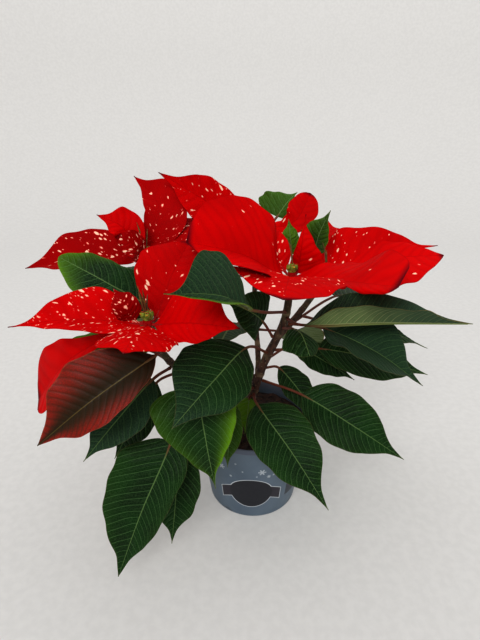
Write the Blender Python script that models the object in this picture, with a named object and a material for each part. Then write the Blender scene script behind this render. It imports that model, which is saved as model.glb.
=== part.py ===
"""A potted poinsettia: plastic pot, peat, woody stems, leaves, red bracts and small flowers.

The origin is the centre of the pot's base, +Z is up and the front of the plant looks along -Y.
Every size and place below is in millimetres; MM turns them into metres.
"""
import math

import bmesh
import bpy
from mathutils import Vector
from mathutils.geometry import interpolate_bezier

MM = 0.001
# The clearance between two pieces that touch on the real plant.
GAP = 0.3

POT_RIM_RADIUS = 52.5
POT_BASE_RADIUS = 40
POT_HEIGHT = 85
POT_SLOPE = (POT_RIM_RADIUS - POT_BASE_RADIUS) / POT_HEIGHT
POT_WALL = 1.2
POT_FLOOR = 1.6
POT_SIDES = 40
FOOT_ROUNDING = 3
LIP_DEPTH = 5
LIP_OVERHANG = 1.6
LIP_ROUNDING = 0.6
DRAIN_HOLES = 4
DRAIN_RADIUS = 4.5
DRAIN_CIRCLE = 24
DRAIN_SIDES = 12
SOIL_HEIGHT = 77
SOIL_MOUND = 2
SOIL_ROUGHNESS = 1.4
SOIL_SIDES = 28
STEM_HOLE_DEPTH = 22
STEM_HOLE_MARGIN = 0.8

STEM_SIDES = 8
STEM_STEP = 11
NODE_SWELLING = 1.08
PETIOLE_RADIUS = 1.1
BRACT_STALK_RADIUS = 1.2
BLADE_HALF_THICKNESS = 0.45
RIB_HALF_THICKNESS = 0.8
TIP_HALF_WIDTH = 0.7
TAIL_START = 0.68
TAIL_END = 0.88
LEAF_WAVE = 1.5
LEAF_WAVES = 1.5
BLADE_CREASE = 60
HUB_RADIUS = 3.4
HUB_HEIGHT = 4.5
PAD_RADIUS = 3
PAD_HEIGHT = 2
CUP_RING = 2.6
CUP_RADIUS = 1.9
CUP_HEIGHT = 5.2

COLUMNS = (-1.0, -0.55, 0.0, 0.55, 1.0)
LEAF_STEPS = (0.0, 0.05, 0.14, 0.27, 0.42, 0.58, 0.74, 0.88, 1.0)
BRACT_STEPS = (0.0, 0.12, 0.28, 0.46, 0.64, 0.83, 1.0)

MAIN_STEM = [(-5, 4, 56), (-5, 4, 80), (-1, 2, 102), (8, -5, 138), (23, -12, 181), (27, -12, 216)]
BRANCHES = {
    "main": dict(points=MAIN_STEM, thick=(4.4, 2.7)),
    "left": dict(points=[(4, -2, 122), (-14, -10, 127), (-38, -24, 134), (-58, -38, 152),
                         (-68, -56, 178), (-72, -70, 202)], thick=(3.2, 2.3)),
    "rear_left": dict(points=[(-1, 2, 104), (-14, 8, 116), (-44, 12, 148), (-70, 12, 188),
                              (-86, 11, 222)], thick=(3.2, 2.3)),
    "rear": dict(points=[(3, -1, 118), (4, 14, 132), (2, 34, 162), (1, 50, 196), (2, 60, 234)],
                 thick=(2.4, 2.0)),
    "right": dict(points=[(17, -10, 164), (28, -5, 174), (44, 6, 190), (58, 18, 206)],
                  thick=(2.8, 2.2)),
}

COLOURS = {
    "pot": (0.16, 0.20, 0.25),
    "soil": (0.03, 0.02, 0.015),
    "stem": (0.10, 0.05, 0.03),
    "leaf": (0.02, 0.08, 0.025),
    "red_leaf": (0.14, 0.03, 0.02),
    "bract": (0.75, 0.005, 0.005),
    "flower": (0.35, 0.40, 0.03),
}


def clear_scene():
    """Takes away whatever the file opened with."""
    for thing in list(bpy.data.objects):
        bpy.data.objects.remove(thing)


def material(name, roughness=0.5):
    """One plain finish for each kind of piece, made the first time it is asked for."""
    found = bpy.data.materials.get(name)
    if found:
        return found
    made = bpy.data.materials.new(name)
    made.use_nodes = True
    shader = made.node_tree.nodes["Principled BSDF"]
    shader.inputs["Base Color"].default_value = (*COLOURS[name], 1)
    shader.inputs["Roughness"].default_value = roughness
    made.diffuse_color = (*COLOURS[name], 1)
    return made


def add_object(name, mesh_data, finish, angle=40):
    """A named object from a bmesh in millimetres, with its faces pointing out."""
    bmesh.ops.recalc_face_normals(mesh_data, faces=mesh_data.faces)
    bmesh.ops.scale(mesh_data, vec=(MM, MM, MM), verts=mesh_data.verts)
    mesh = bpy.data.meshes.new(name)
    mesh_data.to_mesh(mesh)
    mesh_data.free()
    mesh.shade_smooth()
    mesh.set_sharp_from_angle(angle=math.radians(angle))
    mesh.materials.append(finish)
    made = bpy.data.objects.new(name, mesh)
    bpy.context.collection.objects.link(made)
    return made


def keep_outer_shell(mesh):
    """Keeps the largest closed surface, so that no sealed bubble stays where pieces cross."""
    shell = bmesh.new()
    shell.from_mesh(mesh)
    left = set(shell.verts)
    groups = []
    while left:
        group = [left.pop()]
        for vertex in group:
            for edge in vertex.link_edges:
                other = edge.other_vert(vertex)
                if other in left:
                    left.remove(other)
                    group.append(other)
        groups.append(group)
    groups.sort(key=len)
    for group in groups[:-1]:
        bmesh.ops.delete(shell, geom=group, context="VERTS")
    shell.to_mesh(mesh)
    shell.free()


def apply_boolean(target, operation, cutters):
    """Joins the cutters to the target, or cuts them from it, and removes them."""
    group = bpy.data.collections.new(target.name + "_tools")
    bpy.context.scene.collection.children.link(group)
    for cutter in cutters:
        group.objects.link(cutter)
    modifier = target.modifiers.new("join", "BOOLEAN")
    modifier.operation = operation
    modifier.operand_type = "COLLECTION"
    modifier.collection = group
    modifier.solver = "EXACT"
    bpy.context.view_layer.update()
    graph = bpy.context.evaluated_depsgraph_get()
    joined = bpy.data.meshes.new_from_object(target.evaluated_get(graph))
    target.modifiers.clear()
    keep_outer_shell(joined)
    target.data = joined
    for cutter in cutters:
        bpy.data.objects.remove(cutter)
    bpy.data.collections.remove(group)


class Line:
    """A smooth curve through a few points, read by its share of length."""

    STEPS = 16

    def __init__(self, points):
        points = [Vector(point) for point in points]
        gaps = [(b - a).length for a, b in zip(points, points[1:])]
        slopes = [(points[1] - points[0]) / gaps[0]]
        for i in range(1, len(points) - 1):
            slopes.append((points[i + 1] - points[i - 1]) / (gaps[i - 1] + gaps[i]))
        slopes.append((points[-1] - points[-2]) / gaps[-1])
        self.spots = []
        self.knots = []
        for i, gap in enumerate(gaps):
            handle_out = points[i] + slopes[i] * gap / 3
            handle_in = points[i + 1] - slopes[i + 1] * gap / 3
            self.knots.append(len(self.spots))
            self.spots += interpolate_bezier(points[i], handle_out, handle_in, points[i + 1],
                                             self.STEPS + 1)[:-1]
        self.knots.append(len(self.spots))
        self.spots.append(points[-1])
        self.reach = [0.0]
        for a, b in zip(self.spots, self.spots[1:]):
            self.reach.append(self.reach[-1] + (b - a).length)
        self.length = self.reach[-1]

    def knot_length(self, index):
        return self.reach[self.knots[index]]

    def at(self, length):
        """The place and direction at a length along the curve."""
        i = 1
        while i < len(self.reach) - 1 and self.reach[i] < length:
            i += 1
        step = self.reach[i] - self.reach[i - 1]
        place = self.spots[i - 1].lerp(self.spots[i], (length - self.reach[i - 1]) / step)
        before = self.spots[max(i - 2, 0)]
        after = self.spots[min(i + 1, len(self.spots) - 1)]
        return place, (after - before).normalized()


def outline(share, fullness, taper, tail):
    """Half width of a blade: 0 at its foot and tip, 1 at its widest. A tail draws the tip out."""
    peak = fullness / (fullness + taper)
    top = peak ** fullness * (1 - peak) ** taper
    drawn = min(max((share - TAIL_START) / (TAIL_END - TAIL_START), 0), 1)
    return share ** fullness * (1 - share) ** taper / top * (1 - tail * drawn)


def blade_ring(place, along, face, half_width, half_rib, half_edge, fold=0, cup=0, wave=0,
               bias=0):
    """Ten points round the blade: five across its upper side, five back under it."""
    normal = (face - face.dot(along) * along).normalized()
    side = along.cross(normal)
    lean = math.radians(fold)
    upper, lower = [], []
    for column in COLUMNS:
        out = abs(column) * half_width * (1 + bias * column)
        lift = out * math.sin(lean) - cup * out * abs(column) + wave * column * abs(column)
        spot = place + side * math.copysign(out * math.cos(lean), column) + normal * lift
        half = half_edge + (half_rib - half_edge) * (1 - abs(column)) ** 2
        upper.append(spot + normal * half)
        lower.append(spot - normal * half)
    return upper + lower[::-1]


def loft(rings):
    """A closed solid through rings of equal count, split alike on both faces."""
    solid = bmesh.new()
    rows = [[solid.verts.new(point) for point in ring] for ring in rings]
    count = len(rows[0])
    half = count // 2
    for a, b in zip(rows, rows[1:]):
        for i in range(count):
            j = (i + 1) % count
            if i < half:
                solid.faces.new((a[i], a[j], b[i]))
                solid.faces.new((a[j], b[j], b[i]))
            else:
                solid.faces.new((a[i], b[j], b[i]))
                solid.faces.new((a[i], a[j], b[j]))
    for row in (rows[0], rows[-1]):
        for i in range(half - 1):
            low, high = count - 1 - i, count - 2 - i
            solid.faces.new((row[i], row[i + 1], row[low]))
            solid.faces.new((row[i + 1], row[high], row[low]))
    return solid


def blade_rings(line, foot, steps, face, width, fold, cup, wave, waves, shift,
                full, taper, bias, tail, start):
    """Rings from the blade's foot to its tip; foot is the length at which the blade starts."""
    rings = []
    for share in steps:
        place, along = line.at(foot + (line.length - foot) * share)
        half = max(width / 2 * outline(share, full, taper, tail), TIP_HALF_WIDTH)
        if share == 0:
            half = start
        rib = start + (RIB_HALF_THICKNESS - start) * min(share * 6, 1)
        rib = BLADE_HALF_THICKNESS + (rib - BLADE_HALF_THICKNESS) * (1 - share)
        edge = BLADE_HALF_THICKNESS if share else start * 0.5
        bloom = math.sin(math.pi * min(share * 4, 1) / 2)
        swell = wave * math.sin(2 * math.pi * (waves * share + shift))
        swell *= min(1, 4 * share, 3 * (1 - share))
        rings.append(blade_ring(place, along, face, half, rib, edge, fold * bloom,
                                cup * bloom, swell, bias * bloom))
    return rings


def petiole_start(branch, share, aim, radius):
    """Where a stalk leaves the bark, so that its end lies GAP clear of the stem."""
    line = branch["line"]
    place, along = line.at(line.length * share)
    thick = branch["thick"][0] + (branch["thick"][1] - branch["thick"][0]) * share
    out = (Vector(aim) - place).normalized()
    lean = abs(out.dot(along))
    across = math.sqrt(1 - lean * lean)
    return place + out * (thick + GAP + radius * lean) / across


def make_leaf(name, on, at, neck, tip, face, width, rise=6, fold=18, cup=0.12, full=0.7,
              taper=1.3, bias=0, tail=0.45, finish="leaf"):
    """A leaf with its stalk: a long stalk from the stem, then a folded, arched, waved blade."""
    neck, tip, face = Vector(neck), Vector(tip), Vector(face).normalized()
    stalk = PETIOLE_RADIUS
    root = petiole_start(BRANCHES[on], at, neck, stalk)
    chord = (tip - neck).normalized()
    up = (face - face.dot(chord) * chord).normalized()
    middle = (neck + tip) / 2 + up * rise
    line = Line([root, neck, middle, tip])
    foot = line.knot_length(1)
    rings = []
    for share in (0.0, 0.5):
        place, along = line.at(foot * share)
        rings.append(blade_ring(place, along, face, stalk, stalk, stalk * 0.5))
    rings += blade_rings(line, foot, LEAF_STEPS, face, width, fold, cup, LEAF_WAVE, LEAF_WAVES,
                         0, full, taper, bias, tail, stalk)
    return add_object(name, loft(rings), material(finish, 0.45), BLADE_CREASE)


def bract_solid(name, hub, tip, face, width, rise=6, sway=0, fold=12, cup=0.1, wave=1.2,
                waves=1.5, shift=0, full=1.0, taper=1.2, bias=0, tail=0.5, drop=1.2, reach=5):
    """One bract from inside the hub to its tip."""
    hub, tip, face = Vector(hub), Vector(tip), Vector(face).normalized()
    level = Vector((tip.x - hub.x, tip.y - hub.y, 0)).normalized()
    stalk = BRACT_STALK_RADIUS
    root = hub + Vector((0, 0, drop))
    neck = root + level * reach
    chord = (tip - neck).normalized()
    up = (face - face.dot(chord) * chord).normalized()
    middle = (neck + tip) / 2 + up * rise + chord.cross(up) * sway
    line = Line([root, neck, middle, tip])
    foot = line.knot_length(1)
    place, along = line.at(0)
    rings = [blade_ring(place, along, face, stalk, stalk, stalk * 0.5)]
    rings += blade_rings(line, foot, BRACT_STEPS, face, width, fold, cup, wave, waves,
                         shift, full, taper, bias, tail, stalk)
    return add_object(name, loft(rings), material("bract", 0.5), BLADE_CREASE)


def turned(profile, sides, centre=(0, 0, 0)):
    """A closed solid of revolution from (radius, height) pairs that start and end at radius 0."""
    solid = bmesh.new()
    centre = Vector(centre)
    rows = []
    for radius, height in profile:
        if radius == 0:
            rows.append([solid.verts.new(centre + Vector((0, 0, height)))] * sides)
            continue
        row = []
        for i in range(sides):
            angle = 2 * math.pi * i / sides
            offset = Vector((radius * math.cos(angle), radius * math.sin(angle), height))
            row.append(solid.verts.new(centre + offset))
        rows.append(row)
    for a, b in zip(rows, rows[1:]):
        for i in range(sides):
            j = (i + 1) % sides
            corners = dict.fromkeys((a[i], a[j], b[j], b[i]))
            solid.faces.new(tuple(corners))
    return solid


def make_pot():
    """A thin tapered cup with a rolled lip and drain holes in its floor."""
    lip_base = POT_HEIGHT - LIP_DEPTH
    wall_at_lip = POT_BASE_RADIUS + POT_SLOPE * lip_base - LIP_OVERHANG
    inner_base = POT_BASE_RADIUS - POT_WALL
    corner = FOOT_ROUNDING * (1 - math.sin(math.pi / 4))
    profile = [
        (0, 0),
        (POT_BASE_RADIUS - FOOT_ROUNDING, 0),
        (POT_BASE_RADIUS - corner, corner),
        (POT_BASE_RADIUS, FOOT_ROUNDING),
        (wall_at_lip, lip_base),
        (POT_RIM_RADIUS - LIP_ROUNDING, lip_base + LIP_ROUNDING),
        (POT_RIM_RADIUS, POT_HEIGHT - 2 * LIP_ROUNDING),
        (POT_RIM_RADIUS - LIP_ROUNDING, POT_HEIGHT),
        (POT_RIM_RADIUS - LIP_OVERHANG, POT_HEIGHT),
        (wall_at_lip - POT_WALL, lip_base - POT_WALL),
        (inner_base, POT_FLOOR + FOOT_ROUNDING / 2),
        (inner_base - FOOT_ROUNDING / 2, POT_FLOOR),
        (0, POT_FLOOR),
    ]
    pot = add_object("pot", turned(profile, POT_SIDES), material("pot", 0.5))
    drills = []
    below, above = -POT_FLOOR, 3 * POT_FLOOR
    drill_profile = [(0, below), (DRAIN_RADIUS, below), (DRAIN_RADIUS, above), (0, above)]
    for i in range(DRAIN_HOLES):
        angle = math.pi / 4 + 2 * math.pi * i / DRAIN_HOLES
        place = (DRAIN_CIRCLE * math.cos(angle), DRAIN_CIRCLE * math.sin(angle), 0)
        drill = turned(drill_profile, DRAIN_SIDES, place)
        drills.append(add_object(f"drill_{i}", drill, material("pot")))
    apply_boolean(pot, "DIFFERENCE", drills)


def make_soil(stem_foot):
    """The peat fills the pot to a little below its lip, with a hole for the stem."""
    inner_base = POT_BASE_RADIUS - POT_WALL - GAP
    inner_top = inner_base + POT_SLOPE * SOIL_HEIGHT - LIP_OVERHANG - 2 * GAP
    floor = POT_FLOOR + GAP
    profile = [(0, floor), (inner_base - FOOT_ROUNDING, floor),
               (inner_base - GAP, floor + FOOT_ROUNDING), (inner_top, SOIL_HEIGHT - SOIL_MOUND)]
    for share in (0.88, 0.7, 0.5, 0.3, 0):
        profile.append((inner_top * share, SOIL_HEIGHT + SOIL_MOUND * (1 - share)))
    soil = turned(profile, SOIL_SIDES)
    for vertex in soil.verts:
        if vertex.co.z > SOIL_HEIGHT - SOIL_MOUND / 2:
            x, y = vertex.co.x, vertex.co.y
            vertex.co.z += SOIL_ROUGHNESS * math.sin(0.31 * x + 1) * math.cos(0.37 * y + 0.2 * x)
    plug = add_object("soil", soil, material("soil", 0.95))
    foot = Vector(stem_foot)
    wide = BRANCHES["main"]["thick"][0] + GAP + STEM_HOLE_MARGIN
    tall = POT_HEIGHT - foot.z
    hole = turned([(0, -GAP), (wide, -GAP), (wide, tall), (0, tall)], DRAIN_SIDES, foot)
    apply_boolean(plug, "DIFFERENCE", [add_object("stem_hole", hole, material("soil"))])


def stem_tube(name, points, thick, first=False):
    """A tapered woody stem with small swellings where leaves have grown."""
    line = Line(points)
    count = max(int(line.length / STEM_STEP), 5)
    rings = []
    for i in range(count + 1):
        share = i / count
        place, along = line.at(line.length * share)
        if first and share * line.length < STEM_HOLE_DEPTH + 5:
            along = Vector((0, 0, 1))
        side = along.cross(Vector((0, 1, 0))).normalized()
        other = side.cross(along)
        radius = thick[0] + (thick[1] - thick[0]) * share
        radius *= NODE_SWELLING if i % 3 == 2 else 1
        ring = []
        for k in range(STEM_SIDES):
            angle = 2 * math.pi * k / STEM_SIDES
            ring.append(place + side * radius * math.cos(angle) + other * radius * math.sin(angle))
        rings.append(ring)
    return add_object(name, loft(rings), material("stem", 0.8))


def make_stems():
    """The main stem with its side branches grown out of it."""
    trunk = None
    limbs = []
    for name, branch in BRANCHES.items():
        branch["line"] = Line(branch["points"])
        tube = stem_tube(f"stem_{name}", branch["points"], branch["thick"], name == "main")
        if name == "main":
            trunk = tube
        else:
            limbs.append(tube)
    trunk.name = "stem"
    apply_boolean(trunk, "UNION", limbs)


def head_hub(branch):
    """The place just clear of a branch's end, where the hub of its bracts is seated."""
    line = BRANCHES[branch]["line"]
    end, along = line.at(line.length)
    rim = BRANCHES[branch]["thick"][1] * math.sqrt(1 - along.z ** 2)
    return end + Vector((0, 0, rim + GAP))


def make_bracts(name, branch, specs):
    """All the bracts of one flower head, grown together round a small hub."""
    hub = head_hub(branch)
    profile = [(0, 0), (HUB_RADIUS * 0.8, 0), (HUB_RADIUS, HUB_HEIGHT * 0.35),
               (HUB_RADIUS * 0.9, HUB_HEIGHT), (0, HUB_HEIGHT)]
    core = add_object(name, turned(profile, 10, hub), material("bract", 0.5))
    blades = []
    for i, spec in enumerate(specs):
        blades.append(bract_solid(f"{name}_{i}", hub, drop=1.4 + 0.35 * (i % 3), **spec))
    apply_boolean(core, "UNION", blades)


def make_flowers(name, branch, cups, turn):
    """The small green cups in the middle of a head, grown together on one pad."""
    hub = head_hub(branch) + Vector((0, 0, HUB_HEIGHT + GAP))
    pad = turned([(0, 0), (PAD_RADIUS, 0), (CUP_RING, PAD_HEIGHT), (0, PAD_HEIGHT)], 8, hub)
    base = add_object(name, pad, material("flower", 0.5))
    buds = []
    for i in range(cups):
        angle = turn + 2 * math.pi * i / (cups - 1)
        middle = i == cups - 1
        reach = 0 if middle else CUP_RING
        tall = CUP_HEIGHT + (1 if middle else 0)
        place = hub + Vector((reach * math.cos(angle), reach * math.sin(angle), 2 * GAP))
        profile = [(0, 0), (CUP_RADIUS * 0.6, 0), (CUP_RADIUS, tall * 0.45),
                   (CUP_RADIUS * 0.7, tall * 0.85), (0, tall)]
        cup = turned(profile, 6, place)
        buds.append(add_object(f"{name}_{i}", cup, material("flower")))
    apply_boolean(base, "UNION", buds)


def make_leaves():
    viewer = (0.1, -0.8, 0.6)
    # Leaves at the left, on the stem of the front left head.
    make_leaf("leaf_left_pale", "left", 0.93, (-74, -38, 200), (-139, -30, 238), viewer, 38,
              full=0.45, taper=0.65, bias=-0.12, tail=0)
    make_leaf("leaf_left_red", "left", 0.8, (-66, -84, 189), (-139, -112, 140), (0.1, -0.8, 0.7),
              46, rise=8, full=0.9, taper=1.05, bias=0.2, finish="red_leaf")
    make_leaf("leaf_left_low", "left", 0.62, (-73, -66, 160), (-118, -98, 115), viewer, 36)
    make_leaf("leaf_left_far", "left", 0.68, (-80, -38, 168), (-160, -30, 162), (0, -0.3, 1), 36)
    make_leaf("leaf_left_hanging", "left", 0.55, (-76, -40, 141), (-109, -62, 86), viewer, 34)
    # Leaves that hang in front of the pot.
    make_leaf("leaf_front_long", "left", 0.5, (-62, -72, 112), (-103, -108, 14), (-0.2, -0.9, 0.4),
              54, full=0.45, taper=1.0, bias=0.25)
    make_leaf("leaf_front_shaded", "left", 0.35, (-59, -60, 97), (-65, -88, 25),
              (0.2, -0.9, 0.4), 38)
    make_leaf("leaf_centre_bright", "left", 0.25, (-40, -72, 156), (-29, -98, 91),
              (-0.1, -0.9, 0.4), 62, full=0.35, taper=1.5, bias=0.12)
    make_leaf("leaf_centre_narrow", "main", 0.34, (-19, -42, 126), (-22, -58, 74), (0, -0.9, 0.4),
              22)
    make_leaf("leaf_centre_young", "main", 0.28, (-4, -12, 108), (-8, -37, 90), (0, -0.8, 0.6), 20)
    make_leaf("leaf_pot_front", "main", 0.3, (2, -30, 114), (53, -92, 64), (0.2, -0.8, 0.6), 51)
    # Leaves in the middle, below and between the heads.
    make_leaf("leaf_centre_dark", "main", 0.58, (-7, -45, 174), (-54, -112, 153),
              (-0.1, -0.8, 0.6), 55, full=1.1, taper=1.15, bias=0.1)
    make_leaf("leaf_centre_high", "main", 0.83, (-2, -70, 214), (-52, -117, 244), (0, -0.5, 0.85),
              55, fold=35, full=2.6, taper=2.4, bias=0.15)
    make_leaf("leaf_centre_inner", "main", 0.66, (6, -18, 182), (-22, -34, 206), viewer, 40)
    make_leaf("leaf_centre_curled", "main", 0.74, (27, -34, 184), (35, -70, 181), (0, 0, 1), 28,
              fold=-20, cup=0.4, taper=0.7, tail=0)
    # Leaves at the right.
    make_leaf("leaf_right_low", "main", 0.4, (39, -22, 118), (118, -55, 79), viewer, 48)
    make_leaf("leaf_right_thin", "main", 0.48, (22, 8, 126), (58, -12, 86), viewer, 26)
    make_leaf("leaf_right_folded", "main", 0.8, (34, -36, 188), (162, -30, 186), (0, 0.5, 1), 50,
              fold=58, rise=1, full=0.6, taper=1.05, bias=-0.3)
    make_leaf("leaf_right_middle", "main", 0.77, (54, -12, 174), (131, -35, 135), (0.3, -0.4, 0.9),
              64, fold=30)
    make_leaf("leaf_right_under", "main", 0.6, (56, 10, 144), (158, 18, 113), (0, -0.6, 0.8), 46)
    make_leaf("leaf_right_far", "right", 0.4, (88, 40, 150), (168, 50, 123), (0, -0.2, 1), 24,
              bias=0.4)
    make_leaf("leaf_right_small", "main", 0.54, (36, 22, 140), (91, 14, 110), viewer, 26)
    # Leaves among the rear heads.
    make_leaf("leaf_back_peak", "rear", 0.92, (22, 80, 243), (41, 96, 262), (-0.2, -0.5, 0.6),
              36, rise=2, full=0.3, taper=1.2, bias=-0.5)
    make_leaf("leaf_back_upright", "right", 0.8, (51, 32, 222), (59, 22, 260), (-0.5, -0.8, 0.2),
              26, bias=-0.2)
    make_leaf("leaf_back_young", "rear", 0.84, (30, 36, 222), (28, 37, 250), (0, -1, 0.3), 17)
    # Leaves on the far side.
    make_leaf("leaf_rear_left_high", "rear_left", 0.8, (-104, 48, 196), (-168, 84, 176),
              (0, 0.3, 1), 52, rise=8)
    make_leaf("leaf_rear_left_low", "rear_left", 0.6, (-78, 50, 152), (-128, 92, 98),
              (0, 0.7, 0.7), 48, rise=8)
    make_leaf("leaf_rear_mid_high", "rear", 0.7, (-24, 84, 186), (-66, 146, 158), (0, 0.5, 0.9),
              54, rise=8)
    make_leaf("leaf_rear_mid_low", "rear", 0.45, (-14, 62, 144), (-38, 118, 84), (0, 0.8, 0.5),
              50, rise=8)
    make_leaf("leaf_rear_right_high", "rear", 0.62, (40, 80, 180), (88, 134, 150), (0, 0.5, 0.9),
              54, rise=8)
    make_leaf("leaf_rear_right_low", "rear", 0.35, (34, 54, 138), (78, 104, 80), (0, 0.8, 0.5),
              48, rise=8)
    make_leaf("leaf_rear_side", "right", 0.25, (76, 52, 176), (140, 96, 140), (0.2, 0.3, 1),
              50, rise=8)


def make_heads():
    viewer = (0, -0.8, 0.6)
    make_bracts("bracts_left", "left", [
        dict(tip=(-156, -84, 209), face=(0, -0.42, 0.9), width=40, fold=25, taper=1.7, bias=0.2,
             tail=0.6),
        dict(tip=(-160, -58, 138), face=(-0.4, -0.5, 0.7), width=50, rise=12, full=2.2,
             taper=0.5, bias=0.2, tail=0),
        dict(tip=(-75, -124, 212), face=(0, -0.45, 0.9), width=50, rise=2, fold=0, cup=0.25),
        dict(tip=(-12, -88, 210), face=(-0.2, -0.7, 0.7), width=44, fold=10, bias=-0.4),
        dict(tip=(-48, -24, 247), face=viewer, width=52, taper=0.85, tail=0, reach=8),
        dict(tip=(-93, -66, 228), face=(0.3, -0.8, 0.2), width=18, reach=8),
    ])
    make_bracts("bracts_rear_left", "rear_left", [
        dict(tip=(-181, 5, 218), face=(0, -0.42, 0.9), width=48, fold=25, bias=0.15),
        dict(tip=(-121, 10, 259), face=(0, -0.75, 0.65), width=26, sway=9, full=1.3, bias=0.2,
             reach=12),
        dict(tip=(-101, 60, 281), face=viewer, width=36, sway=17, bias=0.35, reach=7),
        dict(tip=(-102, -8, 247), face=(0.4, -0.6, 0.6), width=24, taper=0.8, tail=0),
        dict(tip=(-44, 50, 250), face=(0, -0.4, 0.9), width=36),
        dict(tip=(-90, 98, 236), face=(0, 0, 1), width=44),
        dict(tip=(-150, 70, 226), face=(0, 0, 1), width=40),
    ])
    make_bracts("bracts_centre", "main", [
        dict(tip=(-48, -40, 251), face=(0, -0.45, 0.9), width=84, fold=30, full=0.45, taper=0.5,
             bias=0.15, tail=0, reach=7),
        dict(tip=(14, -83, 227), face=(0, -0.5, 0.9), width=74, full=0.8, taper=0.65, tail=0),
        dict(tip=(87, -72, 231), face=(0, -0.4, 0.9), width=43, fold=12, rise=0, full=0.7,
             taper=0.3, bias=-0.58, wave=6, waves=1.1, shift=-0.22, tail=0),
        dict(tip=(37, 2, 261), face=viewer, width=25, full=0.45, taper=1.9, bias=0.5, reach=8),
        dict(tip=(5, 24, 247), face=viewer, width=24, reach=8),
    ])
    make_bracts("bracts_right", "right", [
        dict(tip=(149, 25, 231), face=(0, -0.42, 0.9), width=58, fold=28, full=0.25,
             taper=1.25, bias=-0.25),
        dict(tip=(146, 4, 229), face=(0, -0.4, 0.9), width=52, fold=10, taper=0.85, bias=0.3,
             tail=0.2),
        dict(tip=(110, 80, 232), face=(0, 0, 1), width=44),
        dict(tip=(70, 84, 238), face=(0, 0, 1), width=30),
    ])
    make_bracts("bracts_rear", "rear", [
        dict(tip=(-76, 35, 287), face=viewer, width=42, rise=1),
        dict(tip=(48, 60, 267), face=viewer, width=26, sway=13, full=1.4, taper=0.6, tail=0,
             reach=8),
        dict(tip=(66, 78, 225), face=(0, -0.3, 1), width=20),
        dict(tip=(-20, 118, 250), face=(0, 0, 1), width=28),
        dict(tip=(-56, 112, 246), face=(0, 0.2, 1), width=42),
    ])
    make_flowers("flowers_left", "left", 5, 0.3)
    make_flowers("flowers_rear_left", "rear_left", 4, 0.9)
    make_flowers("flowers_centre", "main", 5, 0.1)
    make_flowers("flowers_right", "right", 4, 0.6)
    make_flowers("flowers_rear", "rear", 4, 1.2)


def main():
    clear_scene()
    make_pot()
    make_stems()
    make_soil(BRANCHES["main"]["points"][0])
    make_leaves()
    make_heads()


main()
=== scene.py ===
# %% [markdown]
# # A potted poinsettia
# This lesson dresses a plain solid model of a poinsettia in its pot. The solid model is loaded
# as a fixed frame: a pot, peat, stems, leaves, red bracts and small flowers, each where it
# belongs. Every step below replaces one kind of piece with a finer one that keeps its place.
# A bract is a leaf that has turned red. The true flowers are the small green cups in between.

# %% Load the solid model
import math
import random

import bpy
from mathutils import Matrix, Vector, noise
from mathutils.geometry import interpolate_bezier


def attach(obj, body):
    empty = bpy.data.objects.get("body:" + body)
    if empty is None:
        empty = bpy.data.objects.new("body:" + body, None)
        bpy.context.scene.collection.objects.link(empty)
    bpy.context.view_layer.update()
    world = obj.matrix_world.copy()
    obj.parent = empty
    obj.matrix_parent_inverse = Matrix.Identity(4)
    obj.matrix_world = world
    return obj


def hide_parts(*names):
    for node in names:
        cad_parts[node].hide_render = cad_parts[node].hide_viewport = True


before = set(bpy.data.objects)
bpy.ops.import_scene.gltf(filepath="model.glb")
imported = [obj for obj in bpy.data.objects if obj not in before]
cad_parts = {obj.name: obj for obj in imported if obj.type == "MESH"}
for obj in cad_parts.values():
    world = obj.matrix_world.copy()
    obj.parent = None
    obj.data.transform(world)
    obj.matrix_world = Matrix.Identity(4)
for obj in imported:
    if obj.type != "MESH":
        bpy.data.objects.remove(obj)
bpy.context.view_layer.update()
MM = 0.001
print("nodes loaded:", len(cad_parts))

# %% [markdown]
# ## Camera
# The photographer stood close and looked down on the plant, which makes the heads large and
# the pot small. A short lens near the object gives the same strong perspective.

# %% Camera
CAMERA_PLACE = (-0.012, -0.343, 0.332)
CAMERA_DIP = 24.5
CAMERA_LENS = 26
bpy.ops.object.camera_add(location=CAMERA_PLACE, rotation=(math.radians(90 - CAMERA_DIP), 0, 0))
bpy.context.object.data.lens = CAMERA_LENS
bpy.context.scene.camera = bpy.context.object
print("camera looks down by", CAMERA_DIP, "degrees")

# %% [markdown]
# ## Shader helpers
# A material is a network of nodes. Two small classes make it read like arithmetic. `Value`
# holds one socket, and adding or multiplying values adds a Math node. `Finish` is a material
# with one method, `add`, that adds any other kind of node. Its colour starts as one plain
# ground, and `lay` puts further colours over it one after the other, as a painter would.

# %% One socket that Python's operators work on
class Value:
    def __init__(self, finish, socket):
        self.finish = finish
        self.socket = socket

    def maths(self, operation, *others):
        return self.finish.add("ShaderNodeMath", {"operation": operation}, [self, *others])

    def __add__(self, other):
        return self.maths("ADD", other)

    def __sub__(self, other):
        return self.maths("SUBTRACT", other)

    def __rsub__(self, other):
        return self.finish.add("ShaderNodeMath", {"operation": "SUBTRACT"}, [other, self])

    def __mul__(self, other):
        return self.maths("MULTIPLY", other)

    def __truediv__(self, other):
        return self.maths("DIVIDE", other)

    def __abs__(self):
        return self.maths("ABSOLUTE")

    __radd__ = __add__
    __rmul__ = __mul__

    def rise(self, low, high):
        """0 below low and 1 above high, with a smooth step between. It falls if low is higher."""
        return self.finish.add("ShaderNodeMapRange", {"interpolation_type": "SMOOTHSTEP"},
                               {0: self, 1: low, 2: high, 3: 0.0, 4: 1.0})

    def also(self, name):
        """Another output of the node that this value comes from."""
        return Value(self.finish, self.socket.node.outputs[name])


# %% A material and the one method that adds nodes to it
def paint(red, green, blue):
    """A display colour from 0 to 255 as the linear colour that a shader wants."""
    return tuple(((c / 255 + 0.055) / 1.055) ** 2.4 if c > 10 else c / 3294 for c in
                 (red, green, blue)) + (1.0,)


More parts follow.
